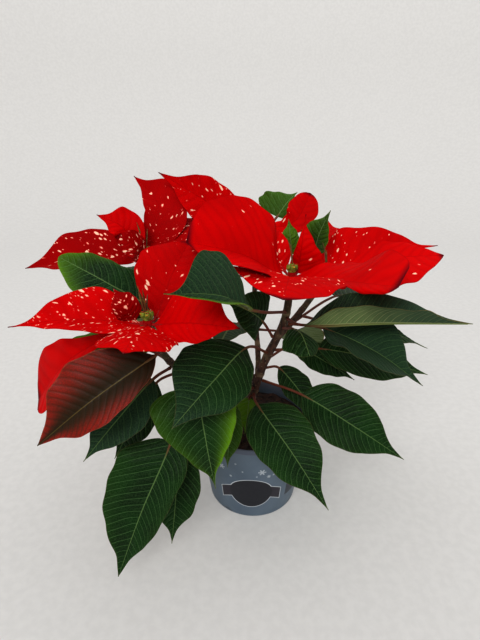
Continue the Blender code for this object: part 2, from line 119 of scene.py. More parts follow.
class Finish:
    def __init__(self, name, ground, roughness, **constants):
        self.ground = ground
        self.material = bpy.data.materials.new(name)
        self.material.use_nodes = True
        self.tree = self.material.node_tree
        self.shader = self.tree.nodes["Principled BSDF"]
        self.shader.inputs["Roughness"].default_value = roughness
        for socket, number in constants.items():
            self.shader.inputs[socket.replace("_", " ")].default_value = number

    def add(self, kind, settings=None, values=(), output=0):
        """Adds a node, makes its settings, feeds its sockets and returns one output."""
        node = self.tree.nodes.new(kind)
        for name, setting in (settings or {}).items():
            setattr(node, name, setting)
        pairs = values.items() if isinstance(values, dict) else enumerate(values)
        for key, value in pairs:
            self.feed(node.inputs[key], value)
        return Value(self, node.outputs[output])

    def feed(self, socket, value):
        if isinstance(value, Value):
            self.tree.links.new(value.socket, socket)
        else:
            socket.default_value = value

    def read(self, attribute):
        """A number stored at each point of the mesh."""
        return self.add("ShaderNodeAttribute", {"attribute_name": attribute}, output="Fac")

    def place(self):
        return self.add("ShaderNodeTexCoord", output="Object")

    def mix(self, share, low, high):
        """A colour between two colours."""
        return self.add("ShaderNodeMix", {"data_type": "RGBA"}, {0: share, 6: low, 7: high}, 2)

    def cloud(self, scale, detail=3.0, where=None):
        return self.add("ShaderNodeTexNoise", {},
                        {"Vector": where or self.place(), "Scale": scale, "Detail": detail})

    def point(self, x, y, z):
        return self.add("ShaderNodeCombineXYZ", {}, [x, y, z])

    def lay(self, colour, share):
        """Covers the colour so far with another one, as far as share says."""
        self.ground = self.mix(share, self.ground, colour)
        self.feed(self.shader.inputs["Base Color"], self.ground)

    def bump(self, height, depth):
        """Depth is the height of the relief in metres where the height value is 1."""
        normal = self.add("ShaderNodeBump", {}, {"Height": height, "Distance": depth})
        self.feed(self.shader.inputs["Normal"], normal)


# %% [markdown]
# ## Leaf colours
# A leaf is not one green. Its midrib and side veins are pale, the flesh between them is dark
# and its margin is a thin brownish line. A young blade is brighter. On some blades a grey-green
# sheen is painted into the colour, and there the veins are fainter. The modelling step below
# stores at each point of a blade how far it lies across and along it, and where between two
# side veins. The shader reads those numbers, so the veins follow every fold. A painted image
# would stretch, and each leaf would need one.

# %% Veins that every blade shares
VEIN_WIDTH = 0.026
VEIN_SPACING = 5.6
VEIN_STAGGER = 0.25


def vein_count(finish):
    """A whole number on each side vein. The veins left and right of the rib don't meet."""
    return finish.read("vein") + finish.read("cross").maths("SIGN") * VEIN_STAGGER


def vein_lines(finish, width=VEIN_WIDTH):
    """1 on a side vein and 0 between two, and a fainter line halfway between."""
    count = vein_count(finish)
    main = count.maths("PINGPONG", 0.5).rise(width * 1.8, width * 0.5)
    return main.maths("MAXIMUM", count.maths("PINGPONG", 0.25).rise(width, 0.0) * 0.35)


def near_vein(finish, far):
    """Falls from 1 on a side vein to 0 at the given share of the way to the next."""
    return vein_count(finish).maths("PINGPONG", 0.5).rise(far, 0.0)


def painted_sheen_and_shade(finish):
    """Rises from 0 to 1 where freshness goes below 0: the share of painted sheen on a leaf and of
    painted shade on a bract.
    """
    return (0 - finish.read("fresh")).rise(0.0, 1.0)


def midrib_line(finish, wide, narrow):
    """1 on the midrib, which grows thinner towards the tip. Widths are in millimetres."""
    width = wide + finish.read("along") * (narrow - wide)
    return (abs(finish.read("cross")) / width).rise(1.2, 0.7)


def net(finish):
    """The fine mesh of veinlets in the flesh, 1 in a cell and 0 on a veinlet."""
    where = finish.point(finish.read("cross"), finish.read("way"), 0.0)
    cells = finish.add("ShaderNodeTexVoronoi", {"feature": "DISTANCE_TO_EDGE"},
                       {"Vector": where, "Scale": 0.75})
    return cells.rise(0.02, 0.16)


# %% The green upper side
LEAF_DEEP = paint(3, 30, 4)
LEAF_MIDDLE = paint(12, 52, 9)
LEAF_FRESH = paint(98, 140, 6)
# Painted sheen: the grey-green laid where a blade's freshness is below 0.
LEAF_SHEEN = paint(42, 66, 50)
LEAF_VEIN = paint(112, 152, 96)
LEAF_RIB = paint(120, 150, 92)
LEAF_MARGIN = paint(110, 96, 60)


def leaf_upper():
    finish = Finish("leaf_upper_side", LEAF_DEEP, 0.45, Specular_IOR_Level=0.1)
    valley = near_vein(finish, 0.42)
    veins = vein_lines(finish)
    rib = midrib_line(finish, 0.6, 0.2)
    finish.lay(LEAF_MIDDLE, finish.cloud(38.0).rise(0.35, 0.7))
    finish.lay(LEAF_MIDDLE, valley * 0.35)
    finish.lay(LEAF_FRESH, finish.read("fresh"))
    # Painted sheen: grey-green where freshness is below 0, and the veins are fainter there.
    finish.lay(LEAF_SHEEN, painted_sheen_and_shade(finish))
    finish.lay(LEAF_VEIN, (1 - net(finish)) * 0.12)
    finish.lay(LEAF_VEIN, veins * (0.5 - painted_sheen_and_shade(finish) * 0.25))
    finish.lay(LEAF_RIB, rib * 0.7)
    finish.lay(LEAF_MARGIN, finish.read("edge").rise(0.45, 0.15) * 0.35)
    finish.bump(valley * -0.6 + net(finish) * 0.12 - veins * 0.3 - rib * 0.4, depth=0.00035)
    return finish.material


# %% The paler underside
UNDER_DULL = paint(94, 112, 70)
UNDER_LIGHT = paint(120, 138, 88)
UNDER_RIB = paint(160, 166, 118)
UNDER_MARGIN = paint(132, 112, 58)


def leaf_under():
    finish = Finish("leaf_under_side", UNDER_DULL, 0.6, Specular_IOR_Level=0.15)
    finish.lay(UNDER_LIGHT, finish.cloud(45.0).rise(0.3, 0.7))
    finish.lay(LEAF_FRESH, finish.read("fresh") * 0.5)
    finish.lay(UNDER_DULL, (1 - net(finish)) * 0.3)
    # Painted sheen on the underside too, with fainter veins.
    finish.lay(LEAF_SHEEN, painted_sheen_and_shade(finish) * 0.85)
    finish.lay(UNDER_RIB, vein_lines(finish, VEIN_WIDTH * 1.8) * (0.8 - painted_sheen_and_shade(finish) * 0.6))
    finish.lay(UNDER_MARGIN, finish.read("edge").rise(1.4, 0.3) * 0.7)
    finish.lay(UNDER_RIB, midrib_line(finish, 1.6, 0.5) * 0.7)
    finish.bump(near_vein(finish, 0.3) * 0.8 + net(finish) * 0.1, depth=0.0004)
    return finish.material


# %% The leaf that is turning into a bract
TURNING_OLIVE = paint(48, 34, 14)
TURNING_RED = paint(150, 34, 22)
TURNING_EDGE = paint(170, 84, 56)
TURNING_VEIN = paint(36, 34, 16)
TURNING_RIB = paint(118, 100, 54)


def leaf_turning():
    finish = Finish("leaf_turning_red", TURNING_OLIVE, 0.4, Specular_IOR_Level=0.16)
    across = finish.read("across")
    clouds = finish.cloud(30.0)
    near_half = (0 - across).rise(0.05, 1.0)
    far_half = across.rise(0.0, 0.9) * 0.85
    onward = finish.read("along").rise(0.0, 0.5) * 0.75 + finish.read("along") * 0.25
    red = (near_half + far_half + 0.08) * onward * (clouds * 0.8 + 0.6)
    valley = near_vein(finish, 0.3)
    finish.lay(TURNING_RED, red.rise(0.0, 1.0))
    finish.lay(TURNING_EDGE, finish.read("edge").rise(0.8, 0.2) * 0.5)
    finish.lay(TURNING_VEIN, valley * 0.35)
    finish.lay(TURNING_VEIN, (1 - net(finish)) * 0.35)
    finish.lay(TURNING_VEIN, finish.read("along").rise(0.93, 1.0))
    finish.lay(TURNING_RIB, midrib_line(finish, 0.5, 0.2) * 0.6)
    finish.bump(valley * -0.4 + net(finish) * 0.15, depth=0.0003)
    return finish.material


# %% [markdown]
# ## Bract colours
# The bracts are a clear, slightly velvety red with cream flecks. A fleck is a patch of cells
# that lost its red, so it is long in the direction of the veins, and there are most of them
# near the heart of the head. Voronoi cells give one random spot in each cell: its distance
# draws the spot, and its random colour decides how large it is or that there is none.

# %% Red with cream flecks
BRACT_BRIGHT = paint(200, 1, 3)
BRACT_DEEP = paint(152, 1, 4)
# Painted shade: the darker red of bracts that are given a share of shade.
BRACT_SHADE = paint(122, 1, 4)
BRACT_PALE = paint(204, 14, 36)
BRACT_TIP = paint(84, 4, 18)
FLECK_HEART = paint(244, 206, 178)
FLECK_RIM = paint(228, 84, 78)
FLECK_CELL = (4.0, 4.4)
SPECK_CELL = (1.9, 2.2)


def fleck_spots(finish, size, share):
    """Spots in cells of the given size in millimetres. Share is how many cells hold one."""
    where = finish.point(finish.read("start") / size[0], finish.read("cross") / size[1],
                         finish.read("lot"))
    cell = finish.add("ShaderNodeTexVoronoi", {}, {"Vector": where, "Scale": 1.0})
    draw = finish.add("ShaderNodeSeparateColor", {}, [cell.also("Color")])
    held = (share - draw).rise(0.0, 0.06)
    radius = held * (draw.also("Green").maths("POWER", 2.0) * 0.34 + 0.14)
    ragged = cell + (finish.cloud(700.0) - 0.5) * 0.25
    return (radius - ragged).rise(-0.08, 0.14)


def bract_red(name, roughness, flecked):
    ground = BRACT_BRIGHT if flecked else BRACT_PALE
    finish = Finish(name, ground, roughness, Specular_IOR_Level=0.02)
    valley = near_vein(finish, 0.35)
    finish.lay(BRACT_DEEP, finish.cloud(28.0).rise(0.35, 0.8) * 0.5)
    # Painted shade: a bract given a share of it is darker red all over.
    finish.lay(BRACT_SHADE, painted_sheen_and_shade(finish))
    finish.lay(BRACT_DEEP, valley * 0.2)
    finish.lay(BRACT_DEEP, midrib_line(finish, 0.8, 0.3) * 0.3)
    if flecked:
        share = finish.read("flecks")
        spots = fleck_spots(finish, FLECK_CELL, share * 0.85)
        specks = fleck_spots(finish, SPECK_CELL, share * 0.95 - 0.15)
        marks = spots.maths("MAXIMUM", specks * 0.8)
        finish.lay(FLECK_RIM, marks.rise(0.05, 0.5))
        finish.lay(FLECK_HEART, marks.rise(0.4, 0.95))
    finish.lay(BRACT_DEEP, finish.read("edge").rise(0.6, 0.2) * 0.35)
    finish.lay(BRACT_TIP, finish.read("along").rise(0.93, 1.0))
    finish.bump(valley * -0.6 + net(finish) * 0.12, depth=0.0002)
    return finish.material


# %% Stalks, from red at the stem to green along the rib
STALK_RED = paint(112, 18, 30)
STALK_GREEN = paint(112, 126, 74)
BRACT_STALK_RED = paint(160, 6, 12)


def stalk_skin(name, near_colour, far_colour):
    finish = Finish(name, far_colour, 0.5, Specular_IOR_Level=0.2)
    streaks = finish.cloud(160.0)
    near = finish.read("along").rise(0.45, 0.05) * 0.8 + streaks.rise(0.5, 0.8) * 0.2
    finish.lay(near_colour, near)
    finish.bump(streaks, depth=0.00015)
    return finish.material


# %% Make the finishes once
LEAF_SKINS = [leaf_upper(), leaf_under(), stalk_skin("leaf_stalk", STALK_RED, STALK_GREEN)]
TURNING_SKINS = [leaf_turning(), LEAF_SKINS[1], LEAF_SKINS[2]]
BRACT_SKINS = [bract_red("bract_upper_side", 0.5, True), bract_red("bract_under_side", 0.6, False),
               stalk_skin("bract_stalk", BRACT_STALK_RED, BRACT_DEEP)]
print("finishes for blades:", len(set(LEAF_SKINS + TURNING_SKINS + BRACT_SKINS)))

# %% [markdown]
# ## Lines that stems and blades follow
# Every stem and every blade follows a smooth line through three to six points. The class
# below joins them with Bezier curves and answers one question: where is the line, and which
# way does it run, after so many millimetres?

# %% A smooth line
class Line:
    STEPS = 24

    def __init__(self, points):
        points = [Vector(point) for point in points]
        gaps = [(b - a).length for a, b in zip(points, points[1:])]
        slopes = [(points[1] - points[0]) / gaps[0]]
        for i in range(1, len(points) - 1):
            slopes.append((points[i + 1] - points[i - 1]) / (gaps[i - 1] + gaps[i]))
        slopes.append((points[-1] - points[-2]) / gaps[-1])
        self.spots, self.knots = [], []
        for i, gap in enumerate(gaps):
            self.knots.append(len(self.spots))
            self.spots += interpolate_bezier(points[i], points[i] + slopes[i] * gap / 3,
                                             points[i + 1] - slopes[i + 1] * gap / 3,
                                             points[i + 1], self.STEPS + 1)[:-1]
        self.knots.append(len(self.spots))
        self.spots.append(points[-1])
        self.reach = [0.0]
        for a, b in zip(self.spots, self.spots[1:]):
            self.reach.append(self.reach[-1] + (b - a).length)
        self.length = self.reach[-1]
        last = len(self.spots) - 1
        self.runs = [(self.spots[min(i + 1, last)] - self.spots[max(i - 1, 0)]).normalized()
                     for i in range(last + 1)]

    def knot_length(self, index):
        return self.reach[self.knots[index]]

    def at(self, length):
        i = 1
        while i < len(self.reach) - 1 and self.reach[i] < length:
            i += 1
        part = (length - self.reach[i - 1]) / (self.reach[i] - self.reach[i - 1])
        place = self.spots[i - 1].lerp(self.spots[i], part)
        return place, self.runs[i - 1].lerp(self.runs[i], part).normalized()


# %% [markdown]
# ## Blades
# A leaf blade is a thin curved sheet. It starts as a flat grid, whose points are then moved:
# along the midrib line, outwards by the outline's half width, up or down by the fold, the cup
# and the waves. Between two side veins the flesh swells up a little. A Solidify modifier then
# gives the sheet its thickness and a second material below. Cloth simulation could bend the
# sheet too, but a formula keeps each blade exactly where the solid model has it.

# %% Half width along a blade
TAIL_START = 0.68
TAIL_END = 0.88


def outline(share, fullness, taper, tail):
    """0 at the foot and at the tip and 1 at the widest place. A tail draws the tip out."""
    peak = fullness / (fullness + taper)
    top = peak ** fullness * (1 - peak) ** taper
    plain = share ** fullness * max(1 - share, 0) ** taper / top
    drawn = min(max((share - TAIL_START) / (TAIL_END - TAIL_START), 0), 1)
    return plain * (1 - tail * drawn * drawn * (3 - 2 * drawn))


# %% Where a point of a blade lies
THICKNESS = 0.4
TIP_HALF_WIDTH = 0.25


def blade_frame(line, foot, share, face):
    """The midrib's place, its direction, the blade's normal and the direction across it."""
    place, along = line.at(foot + (line.length - foot) * share)
    normal = (face - face.dot(along) * along).normalized()
    return place, along, normal, along.cross(normal)


def vein_phase(share, column, half, length, pairs):
    """Counts side veins: whole numbers lie on a vein, which slants and bends to the tip."""
    slant = abs(column) * half / length * (0.5 + 0.35 * abs(column))
    return pairs * (share - slant)


# %% A flat grid, a number at each of its points, and a modifier that is applied
def flat_grid(name, columns, rows):
    """A square of faces from -1 to 1 each way, for a step below to bend into shape."""
    bpy.ops.object.select_all(action="DESELECT")
    bpy.ops.mesh.primitive_grid_add(x_subdivisions=columns, y_subdivisions=rows, size=2)
    bpy.context.object.name = name
    return bpy.context.object


def note(piece, name, numbers):
    """Stores one number at each point of a mesh, where a material can read it."""
    piece.data.attributes.new(name, "FLOAT", "POINT").data.foreach_set("value", numbers)


def modify(piece, kind, **settings):
    """Adds a modifier of the given kind, makes its settings and applies it."""
    modifier = piece.modifiers.new(kind.lower(), kind)
    for name, setting in settings.items():
        setattr(modifier, name, setting)
    bpy.context.view_layer.objects.active = piece
    bpy.ops.object.modifier_apply(modifier=modifier.name)


# %% One blade from a flat grid
NARROW_HALF = 8
VEIN_WANDER = 0.5
BROAD_WOBBLE = 0.025
FINE_WOBBLE = 0.02


def blade(name, line, foot, face, width, columns, rows, fold, cup, wave, waves, shift, full,
          taper, bias, tail, stalk, pairs, swell, ruffle, fresh, flecks):
    """Fold lifts both halves by so many degrees, cup bends them down, and bias moves width
    from one half to the other. A blade narrower than twice NARROW_HALF swells less."""
    sheet = flat_grid(name, columns, rows)
    length = line.length - foot
    draw = random.Random(name)
    turn, other, lot = draw.random() * 6, draw.random() * 6, draw.random() * 90
    frames = [blade_frame(line, foot, row / rows, face) for row in range(rows + 1)]
    halves = [max(width / 2 * outline(row / rows, full, taper, tail), TIP_HALF_WIDTH)
              for row in range(rows + 1)]
    notes = {key: [] for key in ("across", "cross", "along", "way", "vein", "start", "edge",
                                 "fresh", "flecks", "lot")}
    for vertex in sheet.data.vertices:
        column = vertex.co.x
        row = round((vertex.co.y + 1) / 2 * rows)
        share = row / rows
        place, along, normal, side = frames[row]
        bloom = math.sin(math.pi * min(share * 4, 1) / 2)
        half = max(halves[row], stalk * (1 - share * 12))
        wobble = 1 + BROAD_WOBBLE * math.sin(17 * share + turn)
        wobble += FINE_WOBBLE * math.sin(31 * share + other)
        out = abs(column) * half * (1 + bias * bloom * column) * wobble
        lean = math.radians(fold * bloom)
        phase = vein_phase(share, column, half, length, pairs)
        phase += VEIN_WANDER * noise.noise(Vector((share * 6, column * 0.9, lot)))
        swelling = -math.cos(2 * math.pi * (phase + math.copysign(VEIN_STAGGER, column)))
        tilt = wave * math.sin(2 * math.pi * (waves * share + shift))
        tilt *= min(1, 4 * share, 3 * (1 - share))
        lift = out * math.sin(lean) - cup * bloom * out * abs(column) + tilt * column * abs(column)
        puff = 1 - column ** 4
        relief = min(1, half / NARROW_HALF)
        lift += swell * puff * swelling * relief * abs(column) ** 0.5
        flutter = math.sin(2 * math.pi * (5.3 * share + turn)) + math.sin(23 * share + other)
        lift += ruffle * flutter * abs(column) ** 3 * math.copysign(1, column) * relief
        spot = place + side * math.copysign(out * math.cos(lean), column) + normal * lift
        vertex.co = spot * MM
        margin = fresh[3] if column > 0 else fresh[2]
        new = fresh[0] + fresh[1] * share ** 2 + margin * abs(column) ** 3
        fade = flecks * (1 - 0.5 * min(share / 0.9, 1)) * (0.75 + 0.25 * abs(column))
        for key, number in zip(notes, (column, out * math.copysign(1, column), share,
                                       length * share, phase, phase / pairs * length,
                                       half * (1 - abs(column)), min(new, 1), fade, lot)):
            notes[key].append(number)
    for key, numbers in notes.items():
        note(sheet, key, numbers)
    return sheet


# %% Thickness, with the second material below
def thicken(sheet, skins):
    for skin in skins:
        sheet.data.materials.append(skin)
    modify(sheet, "SOLIDIFY", thickness=THICKNESS * MM, offset=0, material_offset=1,
           material_offset_rim=0)


# %% [markdown]
# ## Stalks and ribs
# A stalk runs from the stem into the blade and goes on below it as the midrib, which stands
# proud of the underside. One Bezier curve with a round bevel does both: each of its points has
# its own radius, so it thins out towards the tip. It becomes a mesh and is joined to its blade.

# %% A tapering round tube along a line
TUBE_STEPS = 3


def tube(name, places, radii, skin, resolution=2, shares=(0, 1)):
    bpy.ops.object.select_all(action="DESELECT")
    bpy.ops.curve.primitive_bezier_curve_add(location=(0, 0, 0))
    rod = bpy.context.object
    rod.name = name
    spline = rod.data.splines[0]
    spline.bezier_points.add(len(places) - len(spline.bezier_points))
    for knot, place, radius in zip(spline.bezier_points, places, radii):
        knot.co = place * MM
        knot.handle_left_type = knot.handle_right_type = "AUTO"
        knot.radius = radius
    rod.data.bevel_depth = MM
    rod.data.bevel_resolution = resolution
    rod.data.resolution_u = TUBE_STEPS
    rod.data.use_fill_caps = True
    bpy.ops.object.convert(target="MESH")
    rod.data.materials.append(skin)
    ring = 2 * resolution + 4
    count = len(rod.data.vertices)
    rings = max(count // ring - 1, 1)
    numbers = []
    for vertex in rod.data.vertices:
        part = min(vertex.index // ring, rings) / rings * (len(shares) - 1)
        low = min(int(part), len(shares) - 2)
        numbers.append(shares[low] + (shares[low + 1] - shares[low]) * (part - low))
    note(rod, "along", numbers)
    return rod


# %% The stalk and the rib of one blade
STALK_STEPS = 5
RIB_STEPS = 8
RIB_END = 0.97


def rib_tube(name, line, foot, face, stalk, skin):
    """The stalk, then the rib below the blade. The rib's share runs from 0.1 to 1."""
    places, radii, shares = [], [], []
    for step in range(STALK_STEPS):
        place, along = line.at(foot * step / STALK_STEPS)
        places.append(place)
        radii.append(stalk * (1.25 - 0.25 * min(step, 1)))
        shares.append(0.02 * step)
    for step in range(RIB_STEPS + 1):
        share = step / RIB_STEPS * RIB_END
        place, along, normal, side = blade_frame(line, foot, share, face)
        radius = stalk * (0.95 - 0.72 * share)
        places.append(place - normal * radius * 0.75 * min(step, 1))
        radii.append(radius)
        shares.append(0.1 + 0.9 * share)
    return tube(name, places, radii, skin, shares=shares)


# %% Join pieces into one and smooth them
SMOOTH_ANGLE = 55


def join(name, parts):
    bpy.ops.object.select_all(action="DESELECT")
    for part in parts:
        part.select_set(True)
    bpy.context.view_layer.objects.active = parts[0]
    if len(parts) > 1:
        bpy.ops.object.join()
    whole = bpy.context.view_layer.objects.active
    whole.name = name
    bpy.ops.object.shade_smooth_by_angle(angle=math.radians(SMOOTH_ANGLE))
    return whole


def settle(piece, slot, *nodes):
    """Attaches a finished piece to the root body and hides the solids that it stands for."""
    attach(piece, "root")
    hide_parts(*nodes)


# %% [markdown]
# ## Stems
# The trunk and its four side branches are woody and brown, with a ring where each old leaf
# grew. Their points are the ones of the solid model. A branch starts inside the trunk, and a
# Boolean union makes them one skin, as bark is.

# %% The branch lines
BRANCHES = {
    "main": dict(points=[(-5, 4, 56), (-5, 4, 80), (-1, 2, 102), (8, -5, 138), (23, -12, 181),
                         (27, -12, 216)], thick=(4.4, 2.7)),
    "left": dict(points=[(4, -2, 122), (-14, -10, 127), (-38, -24, 134), (-58, -38, 152),
                         (-68, -56, 178), (-72, -70, 202)], thick=(3.2, 2.3)),
    "rear_left": dict(points=[(-1, 2, 104), (-14, 8, 116), (-44, 12, 148), (-70, 12, 188),
                              (-86, 11, 222)], thick=(3.2, 2.3)),
    "rear": dict(points=[(3, -1, 118), (4, 14, 132), (2, 34, 162), (1, 50, 196), (2, 60, 234)],
                 thick=(2.4, 2.0)),
    "right": dict(points=[(17, -10, 164), (28, -5, 174), (44, 6, 190), (58, 18, 206)],
                  thick=(2.8, 2.2)),
}
for branch in BRANCHES.values():
    branch["line"] = Line(branch["points"])


def branch_radius(branch, share):
    """A branch grows evenly thinner from its foot to its end."""
    low, high = branch["thick"]
    return low + (high - low) * share


# %% Bark
BARK_BROWN = paint(92, 60, 46)
BARK_DARK = paint(44, 26, 24)
BARK_GREEN = paint(96, 92, 58)
BARK_SCAR = paint(168, 148, 116)


def bark():
    finish = Finish("bark", BARK_DARK, 0.78)
    place = finish.place()
    long_place = finish.add("ShaderNodeMapping", {}, {"Vector": place, "Scale": (1, 1, 0.25)})
    streaks = finish.cloud(420.0, where=long_place)
    height = finish.add("ShaderNodeSeparateXYZ", {}, [place]).also("Z")
    pores = finish.add("ShaderNodeTexVoronoi", {}, {"Vector": place, "Scale": 380.0})
    finish.lay(BARK_BROWN, streaks.rise(0.35, 0.65))
    finish.lay(BARK_GREEN, finish.cloud(60.0).rise(0.5, 0.7) * 0.5)
    finish.lay(BARK_GREEN, height.rise(0.15, 0.22) * 0.35)
    finish.lay(BARK_SCAR, pores.rise(0.26, 0.14) * 0.5)
    finish.lay(BARK_SCAR, finish.read("scar") * 0.7)
    finish.bump(streaks + pores.rise(0.3, 0.1) * 0.4, depth=0.0004)
    return finish.material


# %% Grow the stems
RING_STEP = 2.2
NODE_STEP = 21.0
KNOT_REACH = 1.6
KNOT_HEIGHT = 0.13
BARK_ROUGHNESS = 0.06
STEM_SIDES = 24
TRUNK_UPRIGHT = 27
MERGE_DISTANCE = 0.00001


def limb(name, branch, upright_below):
    """A grid rolled into a tube round the branch's line, closed at both ends."""
    line = branch["line"]
    rings = int(line.length / RING_STEP)
    rod = flat_grid(name, STEM_SIDES, rings)
    scars = []
    for vertex in rod.data.vertices:
        share = (vertex.co.y + 1) / 2
        turn = math.pi * vertex.co.x
        length = line.length * share
        place, along = line.at(length)
        if length < upright_below:
            along = Vector((0, 0, 1))
        side = along.cross(Vector((0, 1, 0))).normalized()
        outward = side * math.cos(turn) + side.cross(along) * math.sin(turn)
        knot = math.exp(-((length % NODE_STEP - NODE_STEP / 2) / KNOT_REACH) ** 2)
        rough = noise.noise((place + outward * 3) * 0.25)
        radius = branch_radius(branch, share) * (1 + KNOT_HEIGHT * knot + BARK_ROUGHNESS * rough)
        vertex.co = (place + outward * radius) * MM
        scars.append(knot * (0.5 + 0.5 * math.cos(turn - length)))
    note(rod, "scar", scars)
    bpy.ops.object.mode_set(mode="EDIT")
    bpy.ops.mesh.select_all(action="SELECT")
    bpy.ops.mesh.remove_doubles(threshold=MERGE_DISTANCE)
    bpy.ops.mesh.fill_holes(sides=0)
    bpy.ops.mesh.normals_make_consistent(inside=False)
    bpy.ops.object.mode_set(mode="OBJECT")
    return rod


def combine(whole, operation, others):
    """Joins other closed meshes to one, or cuts them out of it."""
    for other in others:
        modify(whole, "BOOLEAN", operation=operation, object=other, solver="EXACT")
        bpy.data.objects.remove(other)


limbs = [limb(f"limb_{name}", branch, TRUNK_UPRIGHT if name == "main" else 0)
         for name, branch in BRANCHES.items()]
combine(limbs[0], "UNION", limbs[1:])
limbs[0].data.materials.append(bark())
settle(join("stem_bark", limbs[:1]), "stem", "stem")
print("stem faces:", len(limbs[0].data.polygons))

# %% [markdown]
# ## Leaves
# Each leaf is one call: the branch it grows on and how far up, then the point where its stalk
# meets the blade, the tip, the direction its upper side faces, and its width. The rest says
# how it folds and how wide it is near its foot and tip. The four numbers of `fresh` say how
# young and bright its green is all over, how much more so at its tip and at its two margins.
# Below 0 a painted grey-green sheen covers the leaf there.

# %% One leaf with its stalk
GAP = 0.3
STALK_RADIUS = 1.1
LEAF_COLUMNS = 22
LEAF_ROWS = 76
LEAF_WAVE = 1.5
LEAF_WAVES = 1.5
LEAF_SWELL = 0.35
LEAF_RUFFLE = 0.35
FEWEST_VEINS = 7


def bark_start(branch, share, aim, radius):
    """Where a stalk leaves the bark."""
    line = branch["line"]
    place, along = line.at(line.length * share)
    out = (Vector(aim) - place).normalized()
    lean = abs(out.dot(along))
    clear = branch_radius(branch, share) + GAP + radius * lean
    return place + out * clear / math.sqrt(1 - lean * lean)


def leaf(node, on, at, neck, tip, face, width, rise=6, fold=18, cup=0.12, full=0.7, taper=1.3,
         bias=0, tail=0.45, skins=LEAF_SKINS, slot="leaf", fresh=(0, 0, 0.05, 0.05)):
    neck, tip, face = Vector(neck), Vector(tip), Vector(face).normalized()
    root = bark_start(BRANCHES[on], at, neck, STALK_RADIUS)
    chord = (tip - neck).normalized()
    up = (face - face.dot(chord) * chord).normalized()
    middle = (neck + tip) / 2 + up * rise
    line = Line([root, neck, middle, tip])
    foot = line.knot_length(1)
    pairs = max(round((line.length - foot) / VEIN_SPACING), FEWEST_VEINS)
    sheet = blade(node + "_sheet", line, foot, face, width, LEAF_COLUMNS, LEAF_ROWS, fold, cup,
                  LEAF_WAVE, LEAF_WAVES, 0, full, taper, bias, tail, STALK_RADIUS, pairs,
                  LEAF_SWELL, LEAF_RUFFLE, fresh, flecks=0)
    thicken(sheet, skins)
    rib = rib_tube(node + "_rib", line, foot, face, STALK_RADIUS, skins[2])
    settle(join(node + "_blade", [sheet, rib]), slot, node)


# %% Leaves at the left
VIEWER = (0.1, -0.8, 0.6)
leaf("leaf_left_pale", "left", 0.93, (-74, -38, 200), (-139, -30, 238), VIEWER, 38, full=0.45,
     taper=0.65, bias=-0.12, tail=0, fresh=(-0.45, 1.0, 0.5, 0.4))
leaf("leaf_left_red", "left", 0.8, (-66, -84, 189), (-139, -112, 140), (0.1, -0.8, 0.7), 46, rise=8,
     full=0.9, taper=1.05, bias=0.2, skins=TURNING_SKINS, slot="red_leaf")
leaf("leaf_left_low", "left", 0.62, (-73, -66, 160), (-118, -98, 115), VIEWER, 36,
     fresh=(-0.6, 0, 0, 0))
leaf("leaf_left_far", "left", 0.68, (-80, -38, 168), (-160, -30, 162), (0, -0.3, 1), 36,
     fresh=(0.3, 0.2, 0.2, 0.2))
leaf("leaf_left_hanging", "left", 0.55, (-76, -40, 141), (-109, -62, 86), VIEWER, 34)

# %% Leaves that hang in front of the pot
leaf("leaf_front_long", "left", 0.5, (-62, -72, 112), (-103, -108, 14), (-0.2, -0.9, 0.4), 54,
     full=0.45, taper=1.0, bias=0.25)
leaf("leaf_front_shaded", "left", 0.35, (-59, -60, 97), (-65, -88, 25), (0.2, -0.9, 0.4), 38)
leaf("leaf_centre_bright", "left", 0.25, (-40, -72, 156), (-29, -98, 91), (-0.1, -0.9, 0.4), 62,
     full=0.35, taper=1.5, bias=0.12, fresh=(0.0, 0.05, 1.3, 0.3))
leaf("leaf_centre_narrow", "main", 0.34, (-19, -42, 126), (-22, -58, 74), (0, -0.9, 0.4), 22,
     fresh=(0.2, 0.1, 0.1, 0.1))
leaf("leaf_centre_young", "main", 0.28, (-4, -12, 108), (-8, -37, 90), (0, -0.8, 0.6), 20,
     fresh=(0.8, 0, 0, 0))
leaf("leaf_pot_front", "main", 0.3, (2, -30, 114), (53, -92, 64), (0.2, -0.8, 0.6), 51)

# %% Leaves in the middle
leaf("leaf_centre_dark", "main", 0.58, (-7, -45, 174), (-54, -112, 153), (-0.1, -0.8, 0.6), 55,
     full=1.1, taper=1.15, bias=0.1, fresh=(0, -0.7, 0, 0))
leaf("leaf_centre_high", "main", 0.83, (-2, -70, 214), (-52, -117, 244), (0, -0.5, 0.85), 55,
     fold=35, full=2.6, taper=2.4, bias=0.15, fresh=(-0.6, 0.1, 1.3, 0.1))
leaf("leaf_centre_inner", "main", 0.66, (6, -18, 182), (-22, -34, 206), VIEWER, 40)
leaf("leaf_centre_curled", "main", 0.74, (27, -34, 184), (35, -70, 181), (0, 0, 1), 28, fold=-20,
     cup=0.4, taper=0.7, tail=0)

# %% Leaves at the right
leaf("leaf_right_low", "main", 0.4, (39, -22, 118), (118, -55, 79), VIEWER, 48)
leaf("leaf_right_thin", "main", 0.48, (22, 8, 126), (58, -12, 86), VIEWER, 26)
leaf("leaf_right_folded", "main", 0.8, (34, -36, 188), (162, -30, 186), (0, 0.5, 1), 50, fold=58,
     rise=1, full=0.6, taper=1.05, bias=-0.3, fresh=(-0.1, -2, 0, 0))
leaf("leaf_right_middle", "main", 0.77, (54, -12, 174), (131, -35, 135), (0.3, -0.4, 0.9), 64,
     fold=30, fresh=(-0.6, 0, 0, 0))
leaf("leaf_right_under", "main", 0.6, (56, 10, 144), (158, 18, 113), (0, -0.6, 0.8), 46)
leaf("leaf_right_far", "right", 0.4, (88, 40, 150), (168, 50, 123), (0, -0.2, 1), 24, bias=0.4)
leaf("leaf_right_small", "main", 0.54, (36, 22, 140), (91, 14, 110), VIEWER, 26)

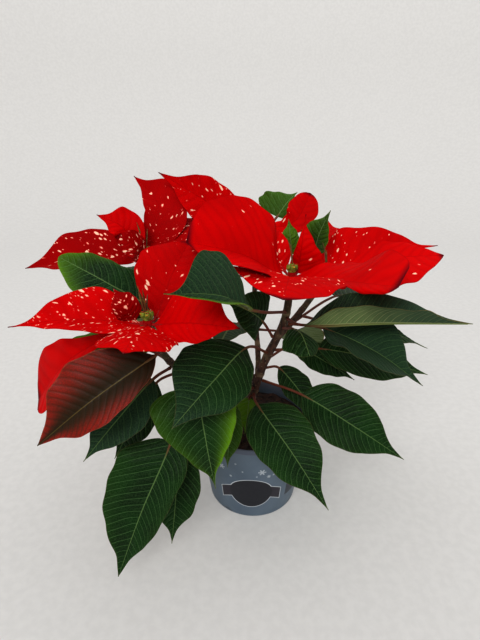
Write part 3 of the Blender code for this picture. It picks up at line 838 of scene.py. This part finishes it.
# %% Leaves behind the heads
leaf("leaf_back_peak", "rear", 0.92, (22, 80, 243), (41, 96, 262), (-0.2, -0.5, 0.6), 36, rise=2,
     full=0.3, taper=1.2, bias=-0.5, fresh=(0.25, 0.1, 0.1, 0.1))
leaf("leaf_back_upright", "right", 0.8, (51, 32, 222), (59, 22, 260), (-0.5, -0.8, 0.2), 26,
     bias=-0.2, fresh=(0.2, 0, 0.3, 0.3))
leaf("leaf_back_young", "rear", 0.84, (30, 36, 222), (28, 37, 250), (0, -1, 0.3), 17,
     fresh=(0.6, 0, 0, 0))
leaf("leaf_rear_left_high", "rear_left", 0.8, (-104, 48, 196), (-168, 84, 176), (0, 0.3, 1), 52,
     rise=8)
leaf("leaf_rear_left_low", "rear_left", 0.6, (-78, 50, 152), (-128, 92, 98), (0, 0.7, 0.7), 48,
     rise=8)
leaf("leaf_rear_mid_high", "rear", 0.7, (-24, 84, 186), (-66, 146, 158), (0, 0.5, 0.9), 54, rise=8)
leaf("leaf_rear_mid_low", "rear", 0.45, (-14, 62, 144), (-38, 118, 84), (0, 0.8, 0.5), 50, rise=8,
     fresh=(-0.8, 0, 0, 0))
leaf("leaf_rear_right_high", "rear", 0.62, (40, 80, 180), (88, 134, 150), (0, 0.5, 0.9), 54, rise=8,
     fresh=(0.1, 0.2, 0.2, 0.2))
leaf("leaf_rear_right_low", "rear", 0.35, (34, 54, 138), (78, 104, 80), (0, 0.8, 0.5), 48, rise=8)
leaf("leaf_rear_side", "right", 0.25, (76, 52, 176), (140, 96, 140), (0.2, 0.3, 1), 50, rise=8)
print("leaves grown:", sum(1 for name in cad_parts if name.startswith("leaf")))

# %% [markdown]
# ## Bracts
# A head is a ring of bracts that grow from one small hub. They are made with the same blade
# recipe as the leaves, with fewer and fainter veins, softer folds and flecks.

# %% One head
HUB_RADIUS = 3.4
HUB_HEIGHT = 4.5
BRACT_STALK = 1.2
BRACT_COLUMNS = 20
BRACT_ROWS = 52
BRACT_VEINS = 9
BRACT_SWELL = 0.22
BRACT_RUFFLE = 0.4
BRACT_FOOT_HEIGHT = 1.4
BRACT_FOOT_STEP = 0.35


def hub_place(on):
    """Just above the end of a branch."""
    line = BRANCHES[on]["line"]
    end, along = line.at(line.length)
    rim = branch_radius(BRANCHES[on], 1) * math.sqrt(1 - along.z ** 2)
    return end + Vector((0, 0, rim + GAP))


def turned(name, profile, place, skin, sides=20):
    """A profile of (radius, height) pairs, spun round an upright axis and closed."""
    bpy.ops.object.select_all(action="DESELECT")
    bpy.ops.mesh.primitive_circle_add(vertices=3, radius=1)
    body = bpy.context.object
    body.name = name
    body.data.clear_geometry()
    body.data.from_pydata([Vector((r, 0, z)) * MM for r, z in profile],
                          [(i, i + 1) for i in range(len(profile) - 1)], [])
    bpy.ops.object.mode_set(mode="EDIT")
    bpy.ops.mesh.select_all(action="SELECT")
    bpy.ops.mesh.spin(steps=sides, angle=2 * math.pi, center=(0, 0, 0), axis=(0, 0, 1))
    bpy.ops.mesh.select_all(action="SELECT")
    bpy.ops.mesh.remove_doubles(threshold=MERGE_DISTANCE)
    bpy.ops.mesh.normals_make_consistent(inside=False)
    bpy.ops.object.mode_set(mode="OBJECT")
    for vertex in body.data.vertices:
        vertex.co += Vector(place) * MM
    body.data.materials.append(skin)
    return body


def bract(name, hub, index, tip, face, width, rise=6, sway=0, fold=12, cup=0.1, wave=1.2,
          waves=1.5, shift=0, full=1.0, taper=1.2, bias=0, tail=0.5, reach=5, flecks=0.35, old=0):
    """Feet of neighbours lie at three heights. Sway bends a bract sideways."""
    # A share of painted shade is stored as freshness below 0, and it darkens the whole bract.
    tip, face = Vector(tip), Vector(face).normalized()
    level = Vector((tip.x - hub.x, tip.y - hub.y, 0)).normalized()
    root = hub + Vector((0, 0, BRACT_FOOT_HEIGHT + BRACT_FOOT_STEP * (index % 3)))
    neck = root + level * reach
    chord = (tip - neck).normalized()
    up = (face - face.dot(chord) * chord).normalized()
    middle = (neck + tip) / 2 + up * rise + chord.cross(up) * sway
    line = Line([root, neck, middle, tip])
    foot = line.knot_length(1)
    sheet = blade(name, line, foot, face, width, BRACT_COLUMNS, BRACT_ROWS, fold, cup, wave,
                  waves, shift, full, taper, bias, tail, BRACT_STALK, BRACT_VEINS, BRACT_SWELL,
                  BRACT_RUFFLE, (-old, 0, 0, 0), flecks)
    thicken(sheet, BRACT_SKINS)
    return [sheet, rib_tube(name + "_rib", line, foot, face, BRACT_STALK * 0.8, BRACT_SKINS[2])]


def head(node, on, bracts):
    hub = hub_place(on)
    profile = [(0, 0), (HUB_RADIUS * 0.8, 0), (HUB_RADIUS, HUB_HEIGHT * 0.35),
               (HUB_RADIUS * 0.9, HUB_HEIGHT), (0, HUB_HEIGHT)]
    parts = [turned(node + "_hub", profile, hub, BRACT_SKINS[2])]
    for index, spec in enumerate(bracts):
        parts += bract(f"{node}_{index}", hub, index, **spec)
    settle(join(node + "_bloom", parts), "bract", node)


# %% The five heads
FRONT = (0, -0.8, 0.6)
# Some bracts below are given a share of painted shade, which darkens their whole red.
head("bracts_left", "left", [
    dict(tip=(-156, -84, 209), face=(0, -0.42, 0.9), width=40, fold=25, taper=1.7, bias=0.2,
         tail=0.6, flecks=1.0),
    dict(tip=(-160, -58, 138), face=(-0.4, -0.5, 0.7), width=50, rise=12, full=2.2, taper=0.5,
         bias=0.2, tail=0, flecks=0.1),
    dict(tip=(-75, -124, 212), face=(0, -0.45, 0.9), width=50, rise=2, fold=0, cup=0.25,
         flecks=0.75),
    dict(tip=(-12, -88, 210), face=(-0.2, -0.7, 0.7), width=44, fold=10, bias=-0.4, flecks=0.3),
    dict(tip=(-48, -24, 247), face=FRONT, width=52, taper=0.85, tail=0, reach=8, flecks=0.55,
         old=0.35),
    dict(tip=(-93, -66, 228), face=(0.3, -0.8, 0.2), width=18, reach=8, flecks=1.1, old=0.7),
])
head("bracts_rear_left", "rear_left", [
    dict(tip=(-181, 5, 218), face=(0, -0.42, 0.9), width=48, fold=25, bias=0.15, flecks=0.6,
         old=0.6),
    dict(tip=(-121, 10, 259), face=(0, -0.75, 0.65), width=26, sway=9, full=1.3, bias=0.2,
         reach=12, flecks=0.3),
    dict(tip=(-101, 60, 281), face=FRONT, width=36, sway=17, bias=0.35, reach=7, flecks=0.6,
         old=0.5),
    dict(tip=(-102, -8, 247), face=(0.4, -0.6, 0.6), width=24, taper=0.8, tail=0, flecks=0.9,
         old=0.6),
    dict(tip=(-44, 50, 250), face=(0, -0.4, 0.9), width=36, flecks=0.8, old=0.5),
    dict(tip=(-90, 98, 236), face=(0, 0, 1), width=44),
    dict(tip=(-150, 70, 226), face=(0, 0, 1), width=40),
])
head("bracts_centre", "main", [
    dict(tip=(-48, -40, 251), face=(0, -0.45, 0.9), width=84, fold=30, full=0.45, taper=0.5,
         bias=0.15, tail=0, reach=7, flecks=0.12),
    dict(tip=(14, -83, 227), face=(0, -0.5, 0.9), width=74, full=0.8, taper=0.65, tail=0,
         flecks=0.75),
    dict(tip=(87, -72, 231), face=(0, -0.4, 0.9), width=43, fold=12, rise=0, full=0.7,
         taper=0.3, bias=-0.58, wave=6, waves=1.1, shift=-0.22, tail=0, flecks=0.1),
    dict(tip=(37, 2, 261), face=FRONT, width=25, full=0.45, taper=1.9, bias=0.5, reach=8,
         flecks=0.3),
    dict(tip=(5, 24, 247), face=FRONT, width=24, reach=8, flecks=0.5),
])
head("bracts_right", "right", [
    dict(tip=(149, 25, 231), face=(0, -0.42, 0.9), width=58, fold=28, full=0.25, taper=1.25,
         bias=-0.25, flecks=0.4),
    dict(tip=(146, 4, 229), face=(0, -0.4, 0.9), width=52, fold=10, taper=0.85, bias=0.3,
         tail=0.2, flecks=0.15),
    dict(tip=(110, 80, 232), face=(0, 0, 1), width=44),
    dict(tip=(70, 84, 238), face=(0, 0, 1), width=30),
])
head("bracts_rear", "rear", [
    dict(tip=(-76, 35, 287), face=FRONT, width=42, rise=1, flecks=0.5, old=0.2),
    dict(tip=(48, 60, 267), face=FRONT, width=26, sway=13, full=1.4, taper=0.6, tail=0, reach=8,
         flecks=0.2),
    dict(tip=(66, 78, 225), face=(0, -0.3, 1), width=20),
    dict(tip=(-20, 118, 250), face=(0, 0, 1), width=28),
    dict(tip=(-56, 112, 246), face=(0, 0.2, 1), width=42),
])

# %% [markdown]
# ## Flowers
# In the heart of each head stand small green cups. Each has a rim with a few red-tipped
# stamens and one yellow lip. A cup is a turned profile, and the stamens are short tubes. A few
# thin brown shoots stand up between the cups.

# %% Finishes of the cups, each with two colours in soft clouds
def two_tone(name, colour, other, scale, roughness=0.45):
    finish = Finish(name, colour, roughness)
    clouds = finish.cloud(scale)
    finish.lay(other, clouds.rise(0.35, 0.65))
    finish.bump(clouds, depth=0.0002)
    return finish.material


CUP_SKIN = two_tone("flower_cup", paint(138, 156, 56), paint(92, 120, 36), 500.0)
LIP_SKIN = two_tone("flower_lip", paint(214, 190, 60), paint(186, 150, 30), 700.0, 0.3)
STAMEN_SKIN = two_tone("flower_stamen", paint(150, 40, 30), paint(196, 96, 40), 900.0)
STRAND_SKIN = two_tone("flower_strand", paint(104, 62, 36), paint(120, 100, 48), 300.0)

# %% Clusters of cups
PAD_RADIUS = 3
PAD_HEIGHT = 2
CUP_RING = 2.6
CUP_RADIUS = 1.9
CUP_HEIGHT = 5.2
CUP_SIDES = 14
LIP_SIDES = 10
STAMENS = 5
STRAND_HEIGHT = 24


def around(turn, height=0.0):
    """The level direction at an angle, with a height if one is given."""
    return Vector((math.cos(turn), math.sin(turn), height))


def cup(name, place, tall, draw):
    r = CUP_RADIUS
    profile = [(0, 0), (r * 0.5, 0), (r * 0.85, tall * 0.2), (r, tall * 0.5),
               (r * 0.8, tall * 0.8), (r * 0.72, tall * 0.88), (r * 0.45, tall * 0.86),
               (r * 0.4, tall * 0.7), (0, tall * 0.65)]
    parts = [turned(name, profile, place, CUP_SKIN, CUP_SIDES)]
    for i in range(STAMENS):
        lean = around(2 * math.pi * (i + draw.random() * 0.5) / STAMENS)
        low = place + lean * r * 0.2 + Vector((0, 0, tall * 0.66))
        high = place + lean * r * 0.5 + Vector((0, 0, tall * (0.9 + 0.1 * draw.random())))
        parts.append(tube(name + "_stamen", [low, (low + high) / 2, high], [0.16, 0.18, 0.34],
                          STAMEN_SKIN, 1))
    lip = place + around(draw.random() * 6) * r * 0.75
    lip_profile = [(0, 0), (0.7, 0.2), (0.95, 0.8), (0.6, 1.15), (0.35, 0.9), (0, 0.8)]
    parts.append(turned(name + "_lip", lip_profile, lip + Vector((0, 0, tall * 0.6)), LIP_SKIN,
                        LIP_SIDES))
    return parts


def strand(name, place, tall, draw):
    """A thin young shoot that stands up between the cups and leans a little outwards."""
    lean = around(2 * math.pi * draw.random()) * tall
    high = Vector((0, 0, tall))
    places = [place, place + lean * 0.06 + high * 0.35, place + lean * 0.12 + high * 0.7,
              place + lean * (0.14 + 0.1 * draw.random()) + high]
    return tube(name, places, [0.7, 0.5, 0.65, 0.15], STRAND_SKIN, 1)


def cluster(node, on, cups, turn, strands):
    draw = random.Random(node)
    hub = hub_place(on) + Vector((0, 0, HUB_HEIGHT + GAP))
    pad = [(0, 0), (PAD_RADIUS, 0), (CUP_RING, PAD_HEIGHT), (0, PAD_HEIGHT)]
    parts = [turned(node + "_pad", pad, hub, CUP_SKIN)]
    for i in range(cups):
        middle = i == cups - 1
        reach, tall = (0, CUP_HEIGHT + 1) if middle else (CUP_RING, CUP_HEIGHT)
        angle = turn + 2 * math.pi * i / (cups - 1)
        place = hub + around(angle) * reach + Vector((0, 0, 2 * GAP))
        parts += cup(f"{node}_{i}", place, tall, draw)
    for i in range(strands):
        place = hub + Vector((draw.uniform(-1, 1), draw.uniform(-1, 1), PAD_HEIGHT * 0.8))
        tall = STRAND_HEIGHT * draw.uniform(0.6, 1)
        parts.append(strand(f"{node}_strand_{i}", place, tall, draw))
    settle(join(node + "_cups", parts), "flower", node)


cluster("flowers_left", "left", 5, 0.3, 4)
cluster("flowers_rear_left", "rear_left", 4, 0.9, 3)
cluster("flowers_centre", "main", 5, 0.1, 3)
cluster("flowers_right", "right", 4, 0.6, 2)
cluster("flowers_rear", "rear", 4, 1.2, 2)

# %% [markdown]
# ## Pot
# The pot is thin plastic: a turned wall with a rolled lip. Its slate blue carries a printed
# oval on a sagging band, a plain panel beside it and a few snowflakes, and its foot has shallow
# notches, drawn as a bump with painted shade in them. The rolled lip is darker, and the inside
# and the underside are a deeper blue: both are painted shade. A print has no thickness, so it
# is drawn by the shader from the place on the wall: how far round, as an arc, and how high.

# %% Print on the pot
POT_RIM_RADIUS = 52.5
POT_BASE_RADIUS = 40
POT_HEIGHT = 85
POT_WALL = 1.2
POT_FLOOR = 1.6
POT_SLOPE = (POT_RIM_RADIUS - POT_BASE_RADIUS) / POT_HEIGHT
LIP_DEPTH = 5
LIP_OVERHANG = 1.6
LIP_ROUNDING = 0.6
FOOT_ROUNDING = 3
LIP_BASE = POT_HEIGHT - LIP_DEPTH
WALL_TOP_RADIUS = POT_BASE_RADIUS + POT_SLOPE * LIP_BASE - LIP_OVERHANG
WALL_SLOPE = (WALL_TOP_RADIUS - POT_BASE_RADIUS) / (LIP_BASE - FOOT_ROUNDING)
POT_BLUE = paint(103, 119, 134)
POT_BLUE_DEEP = paint(87, 103, 119)
# Painted shade: the darker colour of the rolled lip.
POT_LIP_SHADE = paint(92, 100, 116)
# Dark ink of the print, also the painted shade in the foot notches.
PRINT_DARK_AND_NOTCH_SHADE = paint(24, 26, 36)
PRINT_BAND = paint(44, 40, 52)
PRINT_PALE = paint(206, 212, 218)
PRINT_RADIUS = 45
PRINT_SOFTNESS = 0.15
OVAL_PLACE = (-2.8, 31.5)
OVAL_HALF = (20, 17.5)
BAND_HALF = (28.5, 7.2)
BAND_RISE = 4
BAND_DROP = 0.012
OUTLINE = 0.7
PANEL_MIDDLE = (47, 27.5)
PANEL_HALF = (15, 8.5)
NOTCH_EVERY = math.pi / 2 * PRINT_RADIUS
NOTCH_AT = -28
NOTCH_HALF_WIDTH = 6.5
NOTCH_HEIGHT = 6


def oval(finish, arc, height, wide, tall):
    """0 in the middle and 1 on the edge of an oval."""
    return ((arc / wide) * (arc / wide) + (height / tall) * (height / tall)).maths("SQRT")


def past_box(arc, height, half):
    """How far a place lies outside a box, in millimetres. It is negative inside."""
    return (abs(arc) - half[0]).maths("MAXIMUM", abs(height) - half[1])


def fill(finish, ink, past):
    """Prints the area where the distance past its edge is negative."""
    finish.lay(ink, past.rise(PRINT_SOFTNESS, -PRINT_SOFTNESS))


def badge(finish, arc, height):
    """A plain oval on a sagging band, with one pale outline round both."""
    across = arc - OVAL_PLACE[0]
    high = height - OVAL_PLACE[1]
    past_band = past_box(across, high + across * across * BAND_DROP - BAND_RISE, BAND_HALF)
    past_oval = (oval(finish, across, high, *OVAL_HALF) - 1) * OVAL_HALF[1]
    past_both = past_band.maths("MINIMUM", past_oval)
    fill(finish, PRINT_PALE, past_both)
    fill(finish, PRINT_BAND, past_both + OUTLINE)
    fill(finish, PRINT_DARK_AND_NOTCH_SHADE, past_oval + OUTLINE)


def flake(finish, arc, height, at, radius):
    """A six-armed snowflake: folded into one sixth of a turn, it is a thin bar."""
    x, y = arc - at[0], height - at[1]
    reach = oval(finish, x, y, 1.0, 1.0)
    turn = y.maths("ARCTAN2", x).maths("PINGPONG", math.pi / 6)
    bar = (reach * turn.maths("SINE") / (radius * 0.2)).rise(1.1, 0.7)
    heart = reach.rise(radius * 0.42, radius * 0.3)
    arms = bar * reach.rise(radius, radius * 0.92)
    finish.lay(PRINT_PALE, arms.maths("MAXIMUM", heart) * 0.65)


FLAKES = [((6.2, 58), 3.4), ((12, 52), 1.9), ((-9.5, 58), 0.9), ((2, 53), 0.9), ((16, 53), 1.1),
          ((-20, 50), 1.4), ((-28, 58), 3.2), ((30, 60), 2.8), ((38, 50), 1.2), ((-38, 52), 1.2),
          ((-15, 66), 1.0), ((22, 66), 1.2), ((-46, 64), 3.4), ((47, 66), 2.2)]


def pot_plastic():
    finish = Finish("pot_plastic", POT_BLUE_DEEP, 0.42)
    place = finish.place()
    split = finish.add("ShaderNodeSeparateXYZ", {}, [place])
    y, z = split.also("Y"), split.also("Z") / MM
    facing = y.maths("SIGN")
    arc = (split * facing * -1).maths("ARCTAN2", abs(y)) * PRINT_RADIUS
    finish.lay(POT_BLUE, finish.cloud(24.0).rise(0.3, 0.7))
    for at, radius in FLAKES:
        flake(finish, arc, z, at, radius)
    badge(finish, arc, z)
    panel = past_box(arc - PANEL_MIDDLE[0], z - PANEL_MIDDLE[1], PANEL_HALF)
    finish.lay(PRINT_DARK_AND_NOTCH_SHADE, panel.rise(0.3, -0.3) * 0.8)
    spread = (arc - NOTCH_AT).maths("WRAP", NOTCH_EVERY / 2, -NOTCH_EVERY / 2)
    notch = oval(finish, spread, z, NOTCH_HALF_WIDTH, NOTCH_HEIGHT)
    # Painted shade: the foot notches are darkened.
    finish.lay(PRINT_DARK_AND_NOTCH_SHADE, notch.rise(1.0, 0.8) * 0.3)
    # Painted shade: the inside and the underside of the pot are the deeper blue.
    reach = oval(finish, split, y, MM, MM)
    middle_of_wall = (z - FOOT_ROUNDING) * WALL_SLOPE + (POT_BASE_RADIUS - POT_WALL / 2)
    finish.lay(POT_BLUE_DEEP, (middle_of_wall - reach).rise(0.0, 0.3))
    # Painted shade: the rolled lip is darker.
    finish.lay(POT_LIP_SHADE, z.rise(LIP_BASE - 0.2, LIP_BASE + 0.2))
    scuffs = finish.cloud(300.0, 5.0)
    finish.feed(finish.shader.inputs["Roughness"], 0.36 + scuffs * 0.16)
    finish.bump(scuffs * 0.06 + notch.rise(0.75, 1.1), depth=0.0008)
    return finish.material


# %% Turn the pot and drill its floor
POT_SIDES = 96
WALL_STEPS = 12
DRAIN_HOLES = 4
DRAIN_RADIUS = 4.5
DRAIN_CIRCLE = 24
DRAIN_SIDES = 24


def rounded_foot(radius, rounding, step, start=0):
    """The quarter circle of a profile from a flat base up into a wall."""
    return [(radius - rounding * (1 - math.sin(math.radians(a))),
             rounding * (1 - math.cos(math.radians(a)))) for a in range(start, 91, step)]


def pot_profile():
    lip = [(POT_RIM_RADIUS - LIP_ROUNDING + LIP_ROUNDING * math.cos(math.radians(a)),
            POT_HEIGHT - LIP_ROUNDING + LIP_ROUNDING * math.sin(math.radians(a)))
           for a in range(0, 91, 18)]
    steps = [(POT_BASE_RADIUS + (WALL_TOP_RADIUS - POT_BASE_RADIUS) * i / WALL_STEPS,
              FOOT_ROUNDING + (LIP_BASE - FOOT_ROUNDING) * i / WALL_STEPS)
             for i in range(1, WALL_STEPS + 1)]
    inner = POT_BASE_RADIUS - POT_WALL
    return ([(0, 0), (POT_BASE_RADIUS / 2, 0)]
            + rounded_foot(POT_BASE_RADIUS, FOOT_ROUNDING, 15) + steps
            + [(POT_RIM_RADIUS - 0.8, LIP_BASE + 0.1), (POT_RIM_RADIUS - 0.2, LIP_BASE + 0.5),
               (POT_RIM_RADIUS, LIP_BASE + 1.1)] + lip
            + [(POT_RIM_RADIUS - LIP_OVERHANG + 0.3, POT_HEIGHT),
               (POT_RIM_RADIUS - LIP_OVERHANG, POT_HEIGHT - 0.3),
               (WALL_TOP_RADIUS - POT_WALL, LIP_BASE - POT_WALL),
               (inner, POT_FLOOR + FOOT_ROUNDING / 2), (inner - FOOT_ROUNDING / 2, POT_FLOOR),
               (0, POT_FLOOR)])


pot = turned("pot_shell", pot_profile(), (0, 0, 0), pot_plastic(), POT_SIDES)
for i in range(DRAIN_HOLES):
    turn = math.pi / 4 + 2 * math.pi * i / DRAIN_HOLES
    bpy.ops.mesh.primitive_cylinder_add(
        vertices=DRAIN_SIDES, radius=DRAIN_RADIUS * MM, depth=4 * POT_FLOOR * MM,
        location=(DRAIN_CIRCLE * MM * math.cos(turn), DRAIN_CIRCLE * MM * math.sin(turn),
                  POT_FLOOR * MM / 2))
    combine(pot, "DIFFERENCE", [bpy.context.object])
settle(join("pot_shell", [pot]), "pot", "pot")
print("pot faces:", len(pot.data.polygons))

# %% [markdown]
# ## Peat
# Peat is dark, matt and crumbly, with fibres in it. A turned plug fills the pot, its top is
# roughened by two sizes of noise, and small crumbs and fibres are strewn on it.

# %% Peat colours
PEAT_DARK = paint(30, 20, 17)
PEAT_BROWN = paint(66, 42, 32)
PEAT_RED = paint(92, 48, 38)


def peat():
    finish = Finish("peat", PEAT_DARK, 0.95)
    clouds = finish.cloud(260.0, 6.0)
    finish.lay(PEAT_BROWN, clouds.rise(0.35, 0.65))
    finish.lay(PEAT_RED, finish.cloud(90.0).rise(0.6, 0.75) * 0.6)
    finish.bump(clouds, depth=0.0015)
    return finish.material


# %% Fill the pot
SOIL_HEIGHT = 77
SOIL_MOUND = 2
SOIL_RINGS = 26
SOIL_SIDES = 90
SOIL_ROUGHNESS = 1.4
SOIL_SINK = 0.6
CRUMBS = 260
SMALLEST_CRUMB = 0.5
CRUMB_GROWTH = 1.4
FIBRES = 46


def soil_top(x, y):
    """Height of the peat, with the same gentle swell as the solid and finer lumps."""
    swell = SOIL_ROUGHNESS * math.sin(0.31 * x + 1) * math.cos(0.37 * y + 0.2 * x)
    lumps = noise.noise(Vector((x, y, 0)) * 0.3) + noise.noise(Vector((x, y, 9)) * 0.9) * 0.6
    return swell + lumps - SOIL_SINK


inner_base = POT_BASE_RADIUS - POT_WALL - GAP
inner_top = inner_base + POT_SLOPE * SOIL_HEIGHT - LIP_OVERHANG - 2 * GAP
floor_height = POT_FLOOR + GAP
profile = [(0, floor_height), (inner_base - FOOT_ROUNDING, floor_height),
           (inner_base - GAP, floor_height + FOOT_ROUNDING), (inner_top, SOIL_HEIGHT - SOIL_MOUND)]
profile += [(inner_top * (1 - i / SOIL_RINGS), SOIL_HEIGHT + SOIL_MOUND * i / SOIL_RINGS)
            for i in range(1, SOIL_RINGS + 1)]
peat_skin = peat()
soil_parts = [turned("peat_fill", profile, (0, 0, 0), peat_skin, SOIL_SIDES)]
for vertex in soil_parts[0].data.vertices:
    x, y, z = vertex.co / MM
    if z > SOIL_HEIGHT - SOIL_MOUND / 2:
        vertex.co.z += soil_top(x, y) * MM

# %% Crumbs and fibres
draw = random.Random(5)


def spot_on_soil(widest, lift):
    """A random place that much above the peat, within a share of its radius."""
    reach = inner_top * widest * math.sqrt(draw.random())
    turn = draw.random() * 2 * math.pi
    x, y = reach * math.cos(turn), reach * math.sin(turn)
    mound = SOIL_MOUND * (1 - reach / inner_top)
    return Vector((x, y, SOIL_HEIGHT + mound + soil_top(x, y) + lift))


for i in range(CRUMBS):
    place = spot_on_soil(widest=0.93, lift=0.3)
    radius = SMALLEST_CRUMB + draw.random() ** 2 * CRUMB_GROWTH
    bpy.ops.mesh.primitive_ico_sphere_add(
        subdivisions=1, radius=radius * MM, location=place * MM,
        rotation=(draw.random() * 3, draw.random() * 3, 0))
    crumb = bpy.context.object
    crumb.scale = (1, 0.6 + draw.random() * 0.4, 0.5 + draw.random() * 0.5)
    bpy.ops.object.transform_apply()
    crumb.data.materials.append(peat_skin)
    soil_parts.append(crumb)
fibre_skin = two_tone("peat_fibre", paint(112, 84, 58), paint(70, 48, 34), 300.0, 0.9)
for i in range(FIBRES):
    place = spot_on_soil(widest=0.85, lift=0.5)
    half = around(draw.random() * math.pi, 0.15) * (2 + 3 * draw.random())
    soil_parts.append(tube("fibre", [place - half, place + Vector((0, 0, 0.6)), place + half],
                           [0.2, 0.28, 0.15], fibre_skin, 0))
soil = join("peat_fill", soil_parts)
settle(soil, "soil", "soil")
print("peat faces:", len(soil.data.polygons))

# %% [markdown]
# ## Studio
# A round bowl of pale paper stands in for the room: its floor curves up into the wall, so no
# corner shows from any side. One wide lamp overhead gives the soft shadow of the photograph.
# A second one shines over the rim of the bowl from the front, below the leaves and on the pot.
# The paper itself glows faintly, as on a light table, so that the shadow stays light.

# %% Paper bowl
BOWL_RADIUS = 1500
BOWL_CURVE = 500
BOWL_HEIGHT = 1100
BOWL_SINK = 0.05
BOWL_SIDES = 64
PAPER_GLOW = 0.23


def paper():
    finish = Finish("studio_paper", paint(171, 170, 168), 0.9, Emission_Strength=PAPER_GLOW,
                    Emission_Color=paint(255, 253, 251))
    finish.lay(paint(177, 176, 174), finish.cloud(140.0).rise(0.3, 0.7))
    return finish.material


bowl_profile = [(0, -BOWL_SINK), (300, -BOWL_SINK), (BOWL_RADIUS - BOWL_CURVE, -BOWL_SINK)]
bowl_profile += rounded_foot(BOWL_RADIUS, BOWL_CURVE, 10, 10)
bowl_profile.append((BOWL_RADIUS, BOWL_HEIGHT))
bowl = turned("studio_bowl", bowl_profile, (0, 0, 0), paper(), BOWL_SIDES)
bpy.ops.object.shade_smooth()

# %% Lamps: watts, size, place and tilt of the one overhead and the one in front
LAMPS = [(7, 1.5, (0.1, 0.35, 1.5), (0.06, 0, 0)),
         (48, 1.2, (-0.6, -2.1, 1.75), (0.94, 0, -0.28))]
AIR_LIGHT = 0.56
PICTURE_GAMMA = 0.82
PICTURE_EXPOSURE = 0.2
for watts, size, place, tilt in LAMPS:
    bpy.ops.object.light_add(type="AREA", location=place, rotation=tilt)
    bpy.context.object.data.size = size
    bpy.context.object.data.energy = watts
world = bpy.data.worlds.new("studio_air")
world.use_nodes = True
air = world.node_tree.nodes["Background"]
air.inputs["Color"].default_value = (1, 1, 1, 1)
air.inputs["Strength"].default_value = AIR_LIGHT
scene = bpy.context.scene
scene.world = world
scene.view_settings.view_transform = "Standard"
scene.view_settings.gamma = PICTURE_GAMMA
scene.view_settings.exposure = PICTURE_EXPOSURE
print("lamps:", len(LAMPS))
